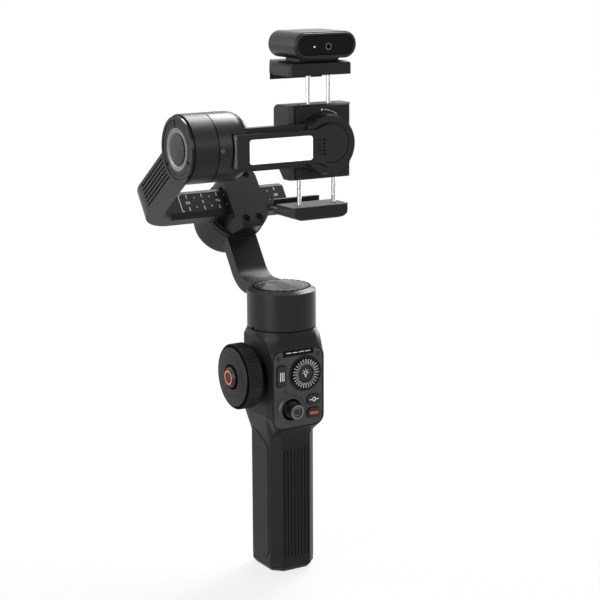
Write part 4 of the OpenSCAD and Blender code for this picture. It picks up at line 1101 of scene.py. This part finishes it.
class GIMBAL_OT_stage(GimbalStep, bpy.types.Operator):
    """Floor, backdrop, lamps and camera"""
    bl_idname = "gimbal.stage"
    bl_label = "Stage"

    def build(self):
        bpy.context.scene.view_settings.view_transform = "Standard"
        self.room()
        self.floor()
        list(self.lamps())
        self.camera()

    def room(self):
        """White where it is seen. The diffuse light it gives is strong behind and weak in front."""
        world = bpy.data.worlds.new("Studio")
        bpy.context.scene.world = world
        tree = empty_tree(world)
        bright_side = (0.25, 0.95, 0.15)
        way = add(tree, "ShaderNodeTexCoord").outputs["Generated"]
        depth = add(tree, "ShaderNodeVectorMath", {1: bright_side}, {0: way}, operation="DOT_PRODUCT")
        dim = add(tree, "ShaderNodeMapRange",
                  {"From Min": -0.3, "From Max": 0.8, "To Min": 0.04, "To Max": 0.7},
                  {"Value": depth.outputs["Value"]}, interpolation_type="SMOOTHSTEP")
        light = add(tree, "ShaderNodeBackground", {"Color": (1, 1, 1, 1)},
                    {"Strength": dim.outputs["Result"]})
        white = add(tree, "ShaderNodeBackground", {"Color": (1, 1, 1, 1), "Strength": 1.0})
        mix = add(tree, "ShaderNodeMixShader",
                  links={0: seen_directly(tree), 1: light.outputs[0], 2: white.outputs[0]})
        add(tree, "ShaderNodeOutputWorld", links={"Surface": mix.outputs[0]})

    def floor(self):
        """Seamless paper that keeps a shadow near the object and fades into the white room."""
        paper = bpy.data.materials.new("Paper, white seamless")
        tree = empty_tree(paper)
        matt = add(tree, "ShaderNodeBsdfDiffuse", {"Color": (0.5, 0.5, 0.5, 1)})
        glow = add(tree, "ShaderNodeEmission", {"Color": (1, 1, 1, 1), "Strength": 1.0})
        where = add(tree, "ShaderNodeTexCoord").outputs["Object"]
        far = add(tree, "ShaderNodeVectorMath", links={0: where}, operation="LENGTH")
        fade = add(tree, "ShaderNodeMapRange",
                   {"From Min": 0.1, "From Max": 0.7, "To Min": 0.8, "To Max": 1.0},
                   {"Value": far.outputs["Value"]}, interpolation_type="SMOOTHSTEP")
        share = add(tree, "ShaderNodeMath", links={0: seen_directly(tree), 1: fade.outputs["Result"]},
                    operation="MULTIPLY")
        mix = add(tree, "ShaderNodeMixShader",
                  links={0: share.outputs[0], 1: matt.outputs[0], 2: glow.outputs[0]})
        add(tree, "ShaderNodeOutputMaterial", links={"Surface": mix.outputs[0]})
        mesh = bmesh.new()
        below = Matrix.Translation((0, 0, -0.5 * MM))
        bmesh.ops.create_circle(mesh, cap_ends=True, segments=64, radius=6.0, matrix=below)
        data = bpy.data.meshes.new("floor")
        mesh.to_mesh(data)
        mesh.free()
        data.materials.append(paper)
        return shown("floor", data)

    def lamps(self):
        """Soft lamps that look at a spot just above the pan motor."""
        aim = Vector((0, 0, 0.2))
        lamps = []
        # Each lamp's name, its place, width and height in metres, and its power in watts.
        for name, at, wide, high, power in (
                ("left softbox", (-1.36, -0.5, 0.5), 0.32, 0.95, 18),
                ("right rear strip", (1.0, 0.55, 0.5), 0.2, 1.2, 14),
                ("left rear strip", (-0.9, 0.9, 0.7), 0.2, 1.0, 6),
                ("top softbox", (0.6, 0.4, 1.15), 0.8, 0.5, 24),
                ("front fill", (0.5, -1.6, 0.9), 0.8, 0.8, 7)):
            light = bpy.data.lights.new(name, "AREA")
            light.shape = "RECTANGLE"
            light.size = wide
            light.size_y = high
            light.energy = power
            lamp = shown(name, light)
            lamp.location = at
            lamp.rotation_euler = (aim - Vector(at)).to_track_quat("-Z", "Y").to_euler()
            lamps.append(lamp)
        return lamps

    def camera(self):
        """The camera that was solved from the photo."""
        azimuth, rise, roll = radians(-31.16), radians(12.39), radians(-0.24)
        # The focal length is in pixels of a picture 600 pixels wide.
        focal = 1676.45
        picture = 600
        sensor = 36
        back = Vector((sin(azimuth) * cos(rise), -cos(azimuth) * cos(rise), sin(rise)))
        level = Vector((cos(azimuth), sin(azimuth), 0))
        lift = back.cross(level)
        right = level * cos(roll) + lift * sin(roll)
        up = lift * cos(roll) - level * sin(roll)
        data = bpy.data.cameras.new("photo angle")
        data.lens = focal / picture * sensor
        data.sensor_width = sensor
        camera = shown("photo angle", data)
        spot = (right * 10.25 + up * 158.89 + back * 1018.6) * MM
        camera.matrix_world = Matrix((
            (right.x, up.x, back.x, spot.x), (right.y, up.y, back.y, spot.y),
            (right.z, up.z, back.z, spot.z), (0, 0, 0, 1)))
        bpy.context.scene.camera = camera


# Panel and registration

# All steps, in the order in which they are written above.
STEPS = tuple(GimbalStep.__subclasses__())


class GIMBAL_PT_steps(bpy.types.Panel):
    """Lists the steps that build the gimbal's looks"""
    bl_idname = "GIMBAL_PT_steps"
    bl_label = "Gimbal"
    bl_space_type = "VIEW_3D"
    bl_region_type = "UI"
    bl_category = "Gimbal"

    def draw(self, context):
        for group in (context.scene.gimbal_sizes, context.scene.gimbal_colours):
            box = self.layout.box()
            for key in group.__annotations__:
                box.prop(group, key)
        for step in STEPS:
            self.layout.operator(step.bl_idname)


CLASSES = (GimbalColours, GimbalSizes) + STEPS + (GIMBAL_PT_steps,)


def register():
    for item in CLASSES:
        bpy.utils.register_class(item)
    bpy.types.Scene.gimbal_colours = bpy.props.PointerProperty(type=GimbalColours)
    bpy.types.Scene.gimbal_sizes = bpy.props.PointerProperty(type=GimbalSizes)


def unregister():
    del bpy.types.Scene.gimbal_sizes
    del bpy.types.Scene.gimbal_colours
    for item in reversed(CLASSES):
        bpy.utils.unregister_class(item)


def main():
    """Registers the add-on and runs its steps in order."""
    register()
    for step in STEPS:
        group, name = step.bl_idname.split(".")
        getattr(getattr(bpy.ops, group), name)()


if __name__ == "__main__":
    main()
